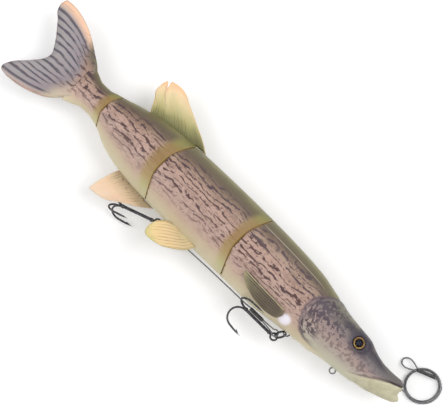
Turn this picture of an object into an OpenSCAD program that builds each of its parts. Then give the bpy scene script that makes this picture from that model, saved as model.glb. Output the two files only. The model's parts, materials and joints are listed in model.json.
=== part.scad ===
// Jointed swimbait with a line-through head, two treble hooks and a coiled wire leader.
// It lies on its left flank: +X to the nose, +Y to the back, +Z to the right flank.

/* [Body] */
// Length of the front segment, from the nose to the edge of its socket
front_l = 131; // [118:1:150]
// Length of the middle segment, from edge to edge
mid_l = 62; // [56:1:74]
// Length of the rear segment, from edge to edge
rear_l = 46.5; // [42:0.5:56]
// Length of the tail segment behind the last edge
tail_l = 22.5; // [20:0.5:28]
// Depth of the body from back to belly
body_h = 44.8; // [40:0.4:52]
// Thickness of the body from flank to flank
body_w = 31; // [28:0.5:36]

/* [Joints] */
// Radius of the first joint's socket
socket_1_r = 19.5; // [18:0.5:21]
// Radius of the second joint's socket
socket_2_r = 17.5; // [16.5:0.5:19]
// Radius of the tail joint's socket
socket_3_r = 9; // [8.5:0.5:10]
// Gap between a socket and the rounded nose in it
joint_gap = 0.6; // [0.4:0.1:1]
// Thickness of the socket's wall at its edge
edge_t = 0.8; // [0.6:0.1:1.2]
// Angle that the first joint turns each way
joint_1_turn = 20; // [10:1:24]
// Angle that the second joint turns each way
joint_2_turn = 10; // [6:1:12]
// Angle that the tail joint turns each way
joint_3_turn = 25; // [10:1:28]
// Diameter of the two body hinge pins
pin_d = 3; // [2.4:0.1:3.6]
// Diameter of the tail hinge pin
tail_pin_d = 2.2; // [1.8:0.1:2.6]
// Wire of the hinge eyes in the body
hinge_wire_d = 2.4; // [2:0.1:2.8]
// Wire of the hinge eyes at the tail
tail_wire_d = 1.6; // [1.4:0.1:1.8]
// Length of a hinge eye's shank inside the segment ahead
shank_l = 10; // [8:1:14]

/* [Fins] */
// Thickness of the soft fins
fin_t = 1.6; // [1.2:0.1:2.2]
// Depth of the slot that a fin's root sits in
fin_root = 4; // [3:0.5:5]
// Length of the dorsal fin's base
dorsal_l = 39; // [34:1:42]
// Height of the dorsal fin above the back
dorsal_h = 22; // [14:0.5:24]
// Length of the anal fin's base
anal_l = 29; // [24:1:32]
// Height of the anal fin below the belly
anal_h = 20.5; // [12:0.5:22]
// Length of the pelvic fins' base
pelvic_l = 21; // [18:1:24]
// Reach of the pelvic fins from the belly
pelvic_h = 14; // [10:0.5:15]
// Distance between the roots of the two pelvic fins
pelvic_gap = 12; // [10:0.5:14]
// Length of the pectoral fins
pectoral_l = 33; // [26:1:36]
// Height of the pectoral fins
pectoral_h = 9; // [7:0.5:11]
// Diameter of the peg that holds a pectoral fin
peg_d = 3; // [2.4:0.2:3.6]
// Length of the tail fin behind the tail segment
tail_fin_l = 38; // [32:1:46]
// Height of the tail fin from tip to tip
tail_fin_h = 55; // [46:1:62]

/* [Head] */
// Distance of the eyes behind the nose
eye_back = 40.4; // [36:0.2:46]
// Height of the eyes above the body's middle line
eye_up = 6.4; // [5:0.2:7.4]
// Diameter of the eyes
eye_d = 7.2; // [6:0.2:8]
// Bulge of the clear eye dome
dome_h = 1.3; // [1:0.1:2]
// Outer diameter of the line tube
tube_d = 3; // [2.6:0.1:3.4]
// Bore of the line tube
tube_bore_d = 2; // [1.6:0.1:2.2]
// Distance of the chin eyelet behind the nose
chin_back = 39.2; // [37:0.2:44]
// Outer diameter of the chin eyelet
chin_d = 4.4; // [4.2:0.1:5]
// Bore of the chin eyelet
chin_bore_d = 2.7; // [2.2:0.1:2.9]
// Thickness of the chin eyelet
chin_t = 1.2; // [1:0.1:1.6]

/* [Ballast] */
// Diameter of the front ballast slug
front_slug_d = 9; // [7:0.5:10]
// Length of the front ballast slug
front_slug_l = 28; // [20:1:34]
// Diameter of the middle ballast slug
mid_slug_d = 7; // [5:0.5:8]
// Length of the middle ballast slug
mid_slug_l = 18; // [12:1:24]

/* [Tackle] */
// Wire of the treble hooks
hook_wire_d = 1.2; // [1:0.1:1.3]
// Length of a treble hook's shank, from its eye to the bends' centres
hook_l = 23; // [20:0.5:24]
// Radius of a treble hook's bends
bend_r = 6.2; // [5:0.2:6.4]
// Radius of a treble hook's eye, to the middle of its wire
hook_eye_r = 2.05; // [1.9:0.05:2.2]
// Outer diameter of the split ring
ring_d = 7.5; // [7.3:0.1:7.7]
// Wire of the split ring
ring_wire_d = 0.7; // [0.6:0.05:0.75]
// Diameter of the leader wire
leader_d = 0.9; // [0.7:0.05:1]
// Diameter of the stinger wire
stinger_d = 0.8; // [0.6:0.05:0.9]
// Outer diameter of the crimp sleeves
crimp_d = 2.3; // [2.1:0.1:2.6]
// Length of the crimp sleeves on the stinger wire
crimp_l = 9.8; // [8:0.2:11]

/* [Hidden] */

$fn = 48;
sides = 24;                 // facets round a body segment
fit = 0.05;                 // clearance of a piece set into its hole
slot_gap = 0.4;             // room round a hinge eye in its slot
skin_gap = 0.5;             // room between a fin and a segment that it overhangs
axis_y = 1;                 // height of the body's middle line in the frame

flesh_l = front_l + mid_l + rear_l + tail_l;
nose_x = (flesh_l + tail_fin_l) / 2;
mid_z = body_w / 2;

// The body's outline at its drawn size: distance behind the nose, then the back and the belly
// measured from the middle line, then half the thickness.
DRAWN = [262, 44.8, 31];
OUTLINE = [
    [0, -1.6, -2.8, 1.3], [1, -0.4, -4.2, 2.5], [3, 1, -5.6, 3.7], [3.6, 6.6, -5.8, 3.9],
    [5, 7.4, -6.4, 4.4], [7, 8, -7.2, 5], [13, 7.6, -9.2, 6], [19, 7.7, -11.2, 6.7],
    [24, 8.5, -12, 7.3], [30, 10.2, -13.6, 8], [36, 12.4, -14.4, 8.9], [48, 13.7, -15.5, 11],
    [54, 14.5, -16.7, 12.3], [59, 15.4, -17.8, 13.6], [65, 16.7, -18.2, 14.8],
    [71, 18, -19, 15.5], [82, 20.2, -20.1, 15.5], [100, 21.6, -22.1, 15.5],
    [118, 22.2, -22.3, 15.5], [140, 22.4, -22.4, 15.5], [175, 21.8, -21.8, 15.5],
    [193, 20.8, -21.3, 14.7], [211, 18.9, -19.7, 13], [222, 16.4, -17.3, 11.4],
    [228, 14.8, -15.2, 10.2], [234, 12.8, -12.2, 9], [240, 11.2, -10.2, 7.9],
    [246, 9.6, -9.3, 6.7], [251, 9.6, -9.5, 5.4], [256, 11.4, -11.5, 3.8], [262, 13.8, -13.8, 2]];

function drawn_x(back) = nose_x - back * flesh_l / DRAWN.x;
function drawn_y(up) = up * body_h / DRAWN.y;
function outline(x, column) =
    lookup((nose_x - x) * DRAWN.x / flesh_l, [for (row = OUTLINE) [row[0], row[column]]]);
function back_y(x) = axis_y + outline(x, 1) * body_h / DRAWN.y;
function belly_y(x) = axis_y + outline(x, 2) * body_h / DRAWN.y;
function half_w(x) = outline(x, 3) * body_w / DRAWN.z;

// Shape of a section: rounder above the middle than below it.
round_up = 2.2;
round_down = 1.8;
function middle_y(x) = (back_y(x) + belly_y(x)) / 2;
function half_h(x) = (back_y(x) - belly_y(x)) / 2;
function rounding(s) = 2 / (s < 0 ? round_down : round_up);
function across(s) =
    pow(max(0, 1 - pow(abs(s), 2 / rounding(s))), rounding(s) / 2);
function flank_z(x, y) = half_w(x) * across((y - middle_y(x)) / half_h(x));

// Edges of the sockets, then the hinge axes behind them
edge_1_x = nose_x - front_l;
edge_2_x = edge_1_x - mid_l;
edge_3_x = edge_2_x - rear_l;
end_x = edge_3_x - tail_l;
function axis_x(edge, r) = edge - sqrt(pow(r, 2) - pow(half_w(edge) - edge_t, 2));
joint_1_x = axis_x(edge_1_x, socket_1_r);
joint_2_x = axis_x(edge_2_x, socket_2_r);
joint_3_x = axis_x(edge_3_x, socket_3_r);

// Heights of the two eyes of each hinge above the middle line
BODY_EYES = [drawn_y(9), drawn_y(-5)];
TAIL_EYES = [4.5, -4.5];
pin_over = 3;               // length of a pin past the eyes it carries
slug_down = drawn_y(13.5);  // depth of the ballast below the middle line

// Joins two points with a round rod.
module rod(p, q, r) {
    v = q - p;
    translate(p) rotate([0, acos(v.z / norm(v)), atan2(v.y, v.x)]) cylinder(r = r, h = norm(v));
}

// Closed wire ring about the normal n.
module wire_ring(c, n, r, wire_r) {
    translate(c) rotate([0, acos(n.z / norm(n)), atan2(n.y, n.x)])
        rotate_extrude() translate([r, 0]) circle(r = wire_r, $fn = 24);
}

function unit(v) = v / norm(v);
function along(pts, i) = unit(pts[min(i + 1, len(pts) - 1)] - pts[max(i - 1, 0)]);

// One direction across the tube at each point, carried along so that the tube doesn't twist.
function carried(pts) = [for (i = 0, a = unit(cross([0, 0, 1], along(pts, 0)));
    i < len(pts);
    i = i + 1, t = along(pts, min(i, len(pts) - 1)), a = unit(a - (a * t) * t)) a];

// Tube of eight sides through a list of points.
module cord_tube(pts, r) {
    n = 8;
    sideways = carried(pts);
    ring = [for (i = [0 : len(pts) - 1])
        let (a = sideways[i], b = cross(along(pts, i), a))
        for (j = [0 : n - 1]) pts[i] + r * (cos(j * 360 / n) * a + sin(j * 360 / n) * b)];
    last = (len(pts) - 1) * n;
    polyhedron(ring, concat(
        [[for (j = [0 : n - 1]) j]],
        [[for (j = [n - 1 : -1 : 0]) last + j]],
        [for (i = [0 : len(pts) - 2], j = [0 : n - 1])
            [i * n + j, (i + 1) * n + j, i * n + (j + 1) % n]],
        [for (i = [0 : len(pts) - 2], j = [0 : n - 1])
            [i * n + (j + 1) % n, (i + 1) * n + j, (i + 1) * n + (j + 1) % n]]));
}

// One section of the body, flat where it meets the floor.
function section(x) = [for (i = [0 : sides - 1])
    let (a = (i + 0.5) * 360 / sides, s = sin(a), c = cos(a), k = rounding(s))
    [x,
     middle_y(x) + half_h(x) * sign(s) * pow(abs(s), k),
     mid_z + half_w(x) * sign(c) * pow(abs(c) / cos(180 / sides), k)]];

// Smooth body between two places along it, in the order tail to nose.
module loft(tail_x, head_x) {
    step = 3.2;
    inner = [for (row = OUTLINE) let (x = drawn_x(row[0]))
        if (x > tail_x + 1 && x < head_x - 0.3) x];
    cuts = [for (i = [0 : len(inner)])
        let (hi = i == 0 ? head_x : inner[i - 1], lo = i == len(inner) ? tail_x : inner[i],
            n = ceil((hi - lo) / step))
        for (j = [0 : n - 1]) hi - (hi - lo) * j / n];
    xs = concat(cuts, [tail_x]);
    pts = [for (x = xs) each section(x)];
    last = (len(xs) - 1) * sides;
    polyhedron(pts, concat(
        [[for (j = [sides - 1 : -1 : 0]) j]],
        [[for (j = [0 : sides - 1]) last + j]],
        [for (i = [0 : len(xs) - 2], j = [0 : sides - 1])
            [i * sides + j, i * sides + (j + 1) % sides, (i + 1) * sides + j]],
        [for (i = [0 : len(xs) - 2], j = [0 : sides - 1])
            [i * sides + (j + 1) % sides, (i + 1) * sides + (j + 1) % sides,
             (i + 1) * sides + j]]));
}

// Upright drum about a hinge axis.
module drum(x, r) {
    translate([x, axis_y, mid_z]) rotate([90, 0, 0]) cylinder(r = r, h = 2 * body_h, center = true, $fn = 96);
}

// What is cut off the front of a segment so that it is round about its hinge.
module nose_trim(x, socket_r) {
    difference() {
        translate([x, -body_h, -body_w]) cube([socket_r + 10, 2 * body_h, 3 * body_w]);
        drum(x, socket_r - joint_gap);
    }
}

function eye_ring_r(pin, wire) = pin / 2 + fit + wire / 2;

// Room for the hinge eyes that turn inside a segment, and the pin's bore.
module hinge_room(x, eyes, pin, wire, turn, socket_r) {
    half = (wire / 2 + slot_gap) / cos(turn);
    reach = socket_r + 1;
    for (up = eyes) translate([x, axis_y + up, mid_z]) rotate([90, 0, 0]) {
        cylinder(r = eye_ring_r(pin, wire) + wire / 2 + slot_gap, h = wire + 2 * slot_gap, center = true);
        linear_extrude(wire + 2 * slot_gap, center = true)
            polygon([[0, -half], [reach, -half - reach * tan(turn)],
                     [reach, half + reach * tan(turn)], [0, half]]);
    }
    hinge_pin(x, eyes, pin / 2 + fit, pin_over + fit);
}

module hinge_pin(x, eyes, r, over) {
    translate([x, axis_y + max(eyes) + over, mid_z]) rotate([90, 0, 0])
        cylinder(r = r, h = max(eyes) - min(eyes) + 2 * over);
}

module hinge_eyes(x, eyes, pin, wire, socket_r) {
    for (up = eyes) {
        c = [x, axis_y + up, mid_z];
        wire_ring(c, [0, 1, 0], eye_ring_r(pin, wire), wire / 2);
        rod(c + [eye_ring_r(pin, wire), 0, 0], c + [socket_r + shank_l, 0, 0], wire / 2);
    }
}

// Holes for the hinge eyes' shanks in the segment ahead.
module shank_holes(x, eyes, wire, socket_r) {
    for (up = eyes)
        rod([x, axis_y + up, mid_z], [x + socket_r + shank_l + fit, axis_y + up, mid_z], wire / 2 + fit);
}

module slug(x, socket_r, d, l, room) {
    start = [x + socket_r - room * 20, axis_y - slug_down, mid_z];
    rod(start + [1, 0, 0] * (1 - room), [x + socket_r + 1 + l + room, axis_y - slug_down, mid_z], d / 2 + room);
}

/* Head fittings */
eye_x = nose_x - eye_back;
eye_y = axis_y + eye_up;
eye_sink = 1.4;             // depth of the eye's pocket below the skin
eye_lean = 18;              // how far the eyes look up
disc_t = 0.6;
module at_eye(side) {
    translate([eye_x, eye_y, mid_z + side * flank_z(eye_x, eye_y)])
        rotate([-side * eye_lean, side * 9, 0]) mirror([0, 0, side < 0 ? 1 : 0]) children();
}
module eye_disc(side) {
    color("goldenrod") at_eye(side) translate([0, 0, -eye_sink]) cylinder(d = eye_d, h = disc_t);
}
module eye_dome(side) {
    cap_r = (pow(eye_d / 2, 2) + pow(dome_h, 2)) / (2 * dome_h);
    color("lightcyan", 0.5) at_eye(side) translate([0, 0, disc_t - eye_sink]) intersection() {
        cylinder(d = eye_d, h = dome_h + 1);
        translate([0, 0, dome_h - cap_r]) sphere(r = cap_r, $fn = 96);
    }
}
module eye_pocket(side) {
    at_eye(side) translate([0, 0, -eye_sink]) cylinder(d = eye_d + 4 * fit, h = eye_sink + 4);
}

chin_x = nose_x - chin_back;
chin_drop = 1.3;            // drop of the chin eyelet below the belly
chin_wire_d = 1.3;
chin_shank_l = 5.2;
chin_y = belly_y(chin_x) - chin_drop;
module chin_eyelet() {
    color("dimgray") difference() {
        union() {
            translate([chin_x, chin_y, mid_z]) cylinder(d = chin_d, h = chin_t, center = true);
            rod([chin_x, chin_y, mid_z], [chin_x, chin_y + chin_shank_l, mid_z], chin_wire_d / 2);
        }
        translate([chin_x, chin_y, mid_z]) cylinder(d = chin_bore_d, h = 3 * chin_t, center = true);
    }
}
module chin_room() {
    translate([chin_x, chin_y, mid_z]) cylinder(d = chin_d + 6 * fit, h = body_w, center = true);
    rod([chin_x, chin_y, mid_z], [chin_x, chin_y + chin_shank_l + fit, mid_z], chin_wire_d / 2 + fit);
}

// The line runs from the mouth to the belly, where the split ring's loop sits in a small well.
mouth = [drawn_x(3.2), axis_y + drawn_y(4.1), mid_z];
belly_x = drawn_x(73.4);
loop_in = 0.3;              // how far the loop's middle is inside the belly line
loop_c = [belly_x, belly_y(belly_x) + loop_in, mid_z];
loop_r = 1.9;
line_way = unit(mouth - loop_c);
well_r = 3;
well_up = 2.6;              // height of the well above the loop's middle
tube_end = 4.2;             // distance of the line tube's lower end from the loop's middle
module line_tube() {
    color("whitesmoke") difference() {
        rod(loop_c + tube_end * line_way, mouth + 0.4 * line_way, tube_d / 2);
        rod(loop_c, mouth + 2 * line_way, tube_bore_d / 2);
    }
}
module line_way_room() {
    rod(loop_c, mouth + 8 * line_way, tube_d / 2 + fit);
    translate(loop_c + [0, well_up, 0]) rotate([90, 0, 0]) cylinder(r = well_r, h = 12);
}

// Mouth crease: a slit that follows the jaw from its corner to the nose.
MOUTH = [[-0.6, 6.4], [4.5, 5], [11.9, 1.3], [21.5, -6.4], [29.4, -11.2]];
slit_t = 0.9;
slit_deep = 1;
module mouth_slit() {
    for (i = [0 : len(MOUTH) - 2], side = [-1, 1]) {
        p = [drawn_x(MOUTH[i].x), axis_y + drawn_y(MOUTH[i].y), 0];
        q = [drawn_x(MOUTH[i + 1].x), axis_y + drawn_y(MOUTH[i + 1].y), 0];
        zp = max(0.6, flank_z(p.x, p.y) - slit_deep);
        zq = max(0.6, flank_z(q.x, q.y) - slit_deep);
        v = q - p;
        translate([p.x, p.y, mid_z + side * zp]) rotate([0, 0, atan2(v.y, v.x)])
            rotate([0, side * atan2(zp - zq, norm(v)), 0])
            translate([0, -slit_t / 2, side > 0 ? 0 : -8]) cube([norm(v), slit_t, 8]);
    }
}

/* Body segments */
module front_segment() {
    color("rosybrown") difference() {
        loft(edge_1_x, nose_x);
        drum(joint_1_x, socket_1_r);
        shank_holes(joint_1_x, BODY_EYES, hinge_wire_d, socket_1_r);
        slug(joint_1_x, socket_1_r, front_slug_d, front_slug_l, fit);
        for (side = [-1, 1]) {
            eye_pocket(side);
            peg_hole(side);
        }
        chin_room();
        line_way_room();
        mouth_slit();
    }
}
module mid_segment() {
    color("rosybrown") difference() {
        loft(edge_2_x, joint_1_x + socket_1_r);
        nose_trim(joint_1_x, socket_1_r);
        hinge_room(joint_1_x, BODY_EYES, pin_d, hinge_wire_d, joint_1_turn + 1, socket_1_r);
        drum(joint_2_x, socket_2_r);
        shank_holes(joint_2_x, BODY_EYES, hinge_wire_d, socket_2_r);
        slug(joint_2_x, socket_2_r, mid_slug_d, mid_slug_l, fit);
        for (side = [-1, 1]) pelvic_room(side);
    }
}
module rear_segment() {
    color("rosybrown") difference() {
        loft(edge_3_x, joint_2_x + socket_2_r);
        nose_trim(joint_2_x, socket_2_r);
        hinge_room(joint_2_x, BODY_EYES, pin_d, hinge_wire_d, joint_2_turn + 1, socket_2_r);
        drum(joint_3_x, socket_3_r);
        shank_holes(joint_3_x, TAIL_EYES, tail_wire_d, socket_3_r);
        fin_slot(dorsal_tail, dorsal_seat_l, 1);
        fin_slot(anal_tail, anal_seat_l, -1);
        hook_rest();
    }
}
// Notch low on the left flank, where the point of the third rear hook rests.
module hook_rest() {
    translate([edge_2_x - 10, axis_y - drawn_y(32), mid_z - 7.4]) cube([14.2, drawn_y(15.5), 3.6]);
}
module tail_segment() {
    color("rosybrown") difference() {
        loft(end_x, joint_3_x + socket_3_r);
        nose_trim(joint_3_x, socket_3_r);
        hinge_room(joint_3_x, TAIL_EYES, tail_pin_d, tail_wire_d, joint_3_turn + 1, socket_3_r);
        translate([end_x - 1, axis_y - tail_root_h - fit, mid_z - fin_t / 2 - fit])
            cube([tail_root_l + 1 + fit, 2 * (tail_root_h + fit), fin_t + 2 * fit]);
        tail_pin_hole();
    }
}

/* Fins */
// Outlines run from the rear of the base to its front, as shares of the base's length and of the
// fin's height, with the height measured from the back or the belly.
DORSAL = [[0, 0.02], [-0.1, 0.24], [-0.14, 0.4], [-0.23, 0.64], [-0.2, 0.87], [-0.09, 0.76],
    [-0.17, 0.94], [-0.09, 1], [0.06, 1], [0.28, 0.8], [0.59, 0.46], [0.83, 0.2], [1, 0.02]];
ANAL = [[0, 0.02], [-0.1, 0.16], [-0.19, 0.63], [-0.24, 1], [0, 0.95], [0.21, 0.8], [0.41, 0.55],
    [0.75, 0.28], [1, 0.02]];
dorsal_tail = edge_2_x - 25;
anal_tail = edge_2_x - 15;
dorsal_seat_l = joint_2_x + 8 - dorsal_tail;
anal_seat_l = joint_2_x + 9 - anal_tail;

function fin_y(x, side) = side > 0 ? back_y(x) : belly_y(x);
function fin_edge(outline, tail, l, h, side) =
    [for (p = outline) let (x = tail + p.x * l)
        [x, fin_y(x, side) + side * (skin_gap + p.y * (h - skin_gap))]];

// Fin with its root in a slot and its lower edge clear of the segment ahead.
module fin(outline, tail, l, h, seat_l, side) {
    foot = [for (i = [6 : -1 : 0]) let (x = tail + seat_l + (l - seat_l) * i / 6)
        [x, fin_y(x, side) + side * skin_gap]];
    root = side * (fin_root - fit);
    translate([0, 0, mid_z - fin_t / 2]) linear_extrude(fin_t) polygon(concat(
        fin_edge(outline, tail, l, h, side), foot,
        [[tail + seat_l, fin_y(tail + seat_l, side) - root], [tail, fin_y(tail, side) - root]]));
}
module fin_slot(tail, seat_l, side) {
    a = [tail - fit, fin_y(tail, side) - side * fin_root];
    b = [tail + seat_l + fit, fin_y(tail + seat_l, side) - side * fin_root];
    translate([0, 0, mid_z - fin_t / 2 - fit]) linear_extrude(fin_t + 2 * fit)
        polygon([a, b, b + [0, side * 12], a + [0, side * 12]]);
}
module dorsal_fin() {
    color("peachpuff") fin(DORSAL, dorsal_tail, dorsal_l, dorsal_h, dorsal_seat_l, 1);
}
module anal_fin() {
    color("peachpuff") fin(ANAL, anal_tail, anal_l, anal_h, anal_seat_l, -1);
}

// Pelvic fins, splayed outwards
PELVIC = [[0, 0], [-0.2, -0.18], [-0.33, -0.5], [-0.33, -0.9], [-0.22, -1], [0, -0.97],
    [0.3, -0.88], [0.58, -0.62], [0.85, -0.3], [1, 0]];
pelvic_tail = edge_1_x - 36;
pelvic_splay = 25;
pelvic_t = 1;
pelvic_root = 3;
module at_pelvic(side) {
    front = pelvic_tail + pelvic_l;
    translate([front, belly_y(front) + 1.2, mid_z + side * pelvic_gap / 2])
        rotate([-side * pelvic_splay, 0, 0]) translate([-front, 0, 0]) children();
}
module pelvic_fin(side) {
    color("khaki") at_pelvic(side) translate([0, 0, -pelvic_t / 2]) linear_extrude(pelvic_t)
        polygon(concat([for (p = PELVIC) [pelvic_tail + p.x * pelvic_l, p.y * pelvic_h / cos(pelvic_splay)]],
            [[pelvic_tail + pelvic_l, pelvic_root], [pelvic_tail + 3, pelvic_root]]));
}
module pelvic_room(side) {
    at_pelvic(side) translate([pelvic_tail - 2, -4, -pelvic_t / 2 - fit])
        cube([pelvic_l + 2 + fit, 4 + pelvic_root + fit, pelvic_t + 2 * fit]);
}

// Pectoral fins lie back along the flanks, each on a round peg.
PECTORAL = [[0.06, 0.1], [-0.02, -0.35], [0.04, -0.8], [0.2, -1.1], [0.45, -1.15], [0.72, -0.85], [1, -0.2],
    [0.98, 0.12], [0.6, 0.1]];
pectoral_x = drawn_x(83);
pectoral_y = axis_y - drawn_y(12);
pectoral_t = 1.2;
peg_l = 4;
module at_pectoral(side) {
    translate([pectoral_x, pectoral_y, mid_z + side * flank_z(pectoral_x, pectoral_y)])
        rotate([side * 32, 0, 0]) rotate([0, side * 1.5, 0]) mirror([0, 0, side < 0 ? 1 : 0]) children();
}
module pectoral_fin(side) {
    color("tan") at_pectoral(side) {
        translate([0, 0, -peg_l]) cylinder(d = peg_d, h = peg_l + 1);
        translate([0, 0, skin_gap]) linear_extrude(pectoral_t)
            polygon([for (p = PECTORAL) [2.5 - p.x * pectoral_l, 1 + p.y * pectoral_h * 0.72]]);
    }
}
module peg_hole(side) {
    at_pectoral(side) translate([0, 0, -peg_l - fit]) cylinder(d = peg_d + 2 * fit, h = peg_l + 2);
}

// Tail fin: a forked sheet with a root between the tail segment's two halves.
TAIL_UP = [[0, 0.53], [-0.1, 0.66], [-0.3, 0.83], [-0.54, 0.95], [-0.78, 1], [-1, 1.05], [-1, 0.87],
    [-0.9, 0.7], [-0.73, 0.38], [-0.6, 0.1]];
TAIL_DOWN = [[-0.62, -0.15], [-0.78, -0.42], [-0.92, -0.64], [-1, -0.78], [-1, -0.95], [-0.88, -0.97],
    [-0.64, -0.95], [-0.38, -0.85], [-0.16, -0.7], [0, -0.53]];
tail_root_l = 9;
tail_root_h = 8;
tail_pin_x = end_x + 5;
module tail_fin() {
    color("thistle") difference() {
        translate([0, 0, mid_z - fin_t / 2]) linear_extrude(fin_t) union() {
            polygon([for (p = concat(TAIL_UP, TAIL_DOWN))
                [end_x + p.x * tail_fin_l - fit, axis_y + p.y * tail_fin_h / 2]]);
            translate([end_x - 1, axis_y - tail_root_h]) square([tail_root_l + 1, 2 * tail_root_h]);
        }
        tail_pin_hole();
    }
}
function tail_pin_l() = 2 * flank_z(tail_pin_x, axis_y) - 0.6;
module tail_fin_pin() {
    color("silver") translate([tail_pin_x, axis_y, mid_z]) cylinder(r = 1, h = tail_pin_l(), center = true);
}
module tail_pin_hole() {
    translate([tail_pin_x, axis_y, mid_z]) cylinder(r = 1 + fit, h = body_w, center = true);
}

/* Tackle */
// The split ring hangs in the leader's loop; up_way and side_way span its plane.
up_way = [0.507, 0.862, 0];
side_way = [-0.474, 0.279, 0.835];
ring_mid_r = (ring_d - ring_wire_d) / 2;
ring_c = loop_c - (ring_mid_r + 0.5) * up_way;
module split_ring() {
    color("dimgray") for (s = [-1, 1])
        wire_ring(ring_c + s * 0.45 * ring_wire_d * cross(up_way, side_way), cross(up_way, side_way),
            ring_mid_r, ring_wire_d / 2);
}

module leader_core() {
    color("slategray") {
        rod(loop_c + loop_r * line_way, mouth + 0.4 * line_way, leader_d / 2);
        wire_ring(loop_c, [0, 0, 1], loop_r, leader_d / 2);
    }
}

// Treble hook with its eye at the origin and its shank along -X.
bend_turn = 172;            // how far a hook's wire turns from its shank to its point
leg_l = 9.2;                // length of a hook from the end of its bend to its point
module treble(angles) {
    r = hook_wire_d / 2;
    shank_r = 1.85 * r;     // the three shank wires, brazed together
    out = 0.8 * r;
    end = 270 - bend_turn;
    wire_ring([0, 0, 0], [0, 0, 1], hook_eye_r, r);
    translate([-hook_l, 0, 0]) rotate([0, 90, 0]) cylinder(r = shank_r, h = hook_l - hook_eye_r);
    translate([-hook_l - 1.6, 0, 0]) rotate([0, 90, 0]) cylinder(r1 = 0.3, r2 = shank_r, h = 1.6);
    for (a = angles) rotate([a, 0, 0]) translate([-hook_l + 0.4, out + bend_r, 0]) {
        rotate([0, 0, end]) rotate_extrude(angle = bend_turn) translate([bend_r, 0]) circle(r = r, $fn = 24);
        translate(bend_r * [cos(end), sin(end), 0]) rotate([0, 0, 180 - bend_turn]) rotate([0, 90, 0]) {
            cylinder(r = r, h = 0.6 * leg_l);
            translate([0, 0, 0.6 * leg_l]) cylinder(r1 = r, r2 = 0.08, h = 0.4 * leg_l);
            translate([0, 0, 0.64 * leg_l]) rotate([0, 155, 90]) cylinder(r1 = 0.7 * r, r2 = 0.1, h = 2);
        }
    }
}
front_eye = ring_c - ring_mid_r * up_way - [0.2, 0.65, 0];
module front_treble() {
    color("darkslategray") translate(front_eye) rotate([0, -2.2, 0]) treble([180, 62, -62]);
}

rear_eye = [edge_2_x + 21, belly_y(edge_2_x + 21) - 4.1, mid_z - 0.5];
rear_aim = 19.7;            // how far the rear shank points away from the belly
rear_dip = 8;               // how far it points down to the floor
module rear_treble() {
    color("darkslategray") translate(rear_eye) rotate([0, 0, rear_aim]) rotate([0, -rear_dip, 0]) treble([110, -130, -10]);
}

// Stinger wire: a loop on the split ring, two crimp sleeves and a loop in the rear hook's eye.
front_loop = ring_c + ring_mid_r * 0.707 * (side_way - up_way) - [0.8, 0, 0];
rear_loop = rear_eye + [2, 0.2, 0];
front_loop_r = 2.1;
rear_loop_r = 1.7;
bend = [edge_1_x + 21, belly_y(edge_1_x + 21) - 1.5, mid_z - 0.3];
crimp_a = front_loop + [-10.2, 0.1, -0.5];
crimp_b = crimp_a + crimp_l * unit(bend - crimp_a);
rear_a = rear_loop + [4.6, 1, 0.4];
rear_b = rear_a + crimp_l * unit(bend - rear_a);
strand = stinger_d / 2 + 0.02;
function across_wire(p, q) = strand * unit(cross([0, 0, 1], q - p));
function loop_points(c, u, v, r, n) =
    [for (i = [0 : n]) let (a = 32 + 296 * i / n) c + r * (cos(a) * u + sin(a) * v)];
module stinger_wire() {
    front_off = across_wire(crimp_a, crimp_b);
    rear_off = across_wire(rear_a, rear_b);
    color("gray") cord_tube(concat(
        [crimp_b - 1.6 * unit(crimp_b - crimp_a) + front_off, crimp_a + front_off],
        loop_points(front_loop, [-1, 0, 0], unit([0, 0.94, -0.34]) * sign(front_off.y), front_loop_r, 9),
        [crimp_a - front_off, crimp_b - front_off, (crimp_b + bend) / 2, bend, (rear_b + bend) / 2,
         rear_b - rear_off, rear_a - rear_off],
        loop_points(rear_loop, [1, 0, 0], [0, 0, 1], rear_loop_r, 9),
        [rear_a + rear_off, rear_b - 1.6 * unit(rear_b - rear_a) + rear_off]), stinger_d / 2);
}
module crimp(p, q) {
    color("dimgray") difference() {
        rod(p, q, crimp_d / 2);
        rod(p - unit(q - p), q + unit(q - p), stinger_d + fit);
    }
}
module front_crimp() {
    crimp(crimp_a, crimp_b);
}
module rear_crimp() {
    crimp(rear_a, rear_b);
}

/* Leader outside the mouth */
// Route of the free wire from the mouth down to the coil
LEADER_OUT = [
    [147.2, 5.2, 15.5], [149.4, 5.6, 15.2], [151.9, 5.6, 14.6], [154.5, 5.5, 13.7],
    [157, 5.7, 12.7], [159.6, 6.4, 11.6], [162, 7.5, 10.5], [164.1, 9.3, 9.4], [165.7, 11.3, 8.3],
    [166.7, 13.7, 7.2], [167.1, 16.2, 6.2], [166.8, 18.6, 5.3], [165.9, 21, 4.5], [164.4, 23, 3.8],
    [162.4, 24.5, 3.2], [160.2, 25.6, 2.8], [157.7, 26, 2.5], [155.2, 25.7, 2.4]];
// Route from the coil through the sleeve, round the end loop and back into the sleeve
LEADER_END = [
    [163, 23.5, 2.4], [161, 24.1, 2.7], [159, 23.5, 3], [156.5, 22.6, 3], [154, 21.6, 3],
    [151.4, 20.7, 3], [148.9, 19.6, 3], [146.6, 18.3, 2.9], [144.3, 17, 2.5], [142.1, 16.1, 1.9],
    [140, 16.2, 1.3], [138.7, 17.3, 0.9], [138.3, 19, 0.7], [139.1, 20.7, 0.8], [140.9, 21.8, 1.2],
    [143.2, 21.9, 1.8], [145.8, 21.3, 2.4], [148.5, 20.7, 2.9], [150.8, 21.5, 3], [153.1, 22.4, 3]];
drawn_nose = [150, 1, 15.5];
module at_nose() {
    translate([nose_x, axis_y, mid_z] - drawn_nose + [0, mouth.y - axis_y - 4.1, drawn_nose.z - mid_z]) children();
}
coil_c = [157.6, 15.6];
coil_r = 10.15;
coil_w = 2.8;
coil_h = 1.9;
module leader_wire() {
    color("slategray") at_nose() cord_tube(LEADER_OUT, leader_d / 2);
}
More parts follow.
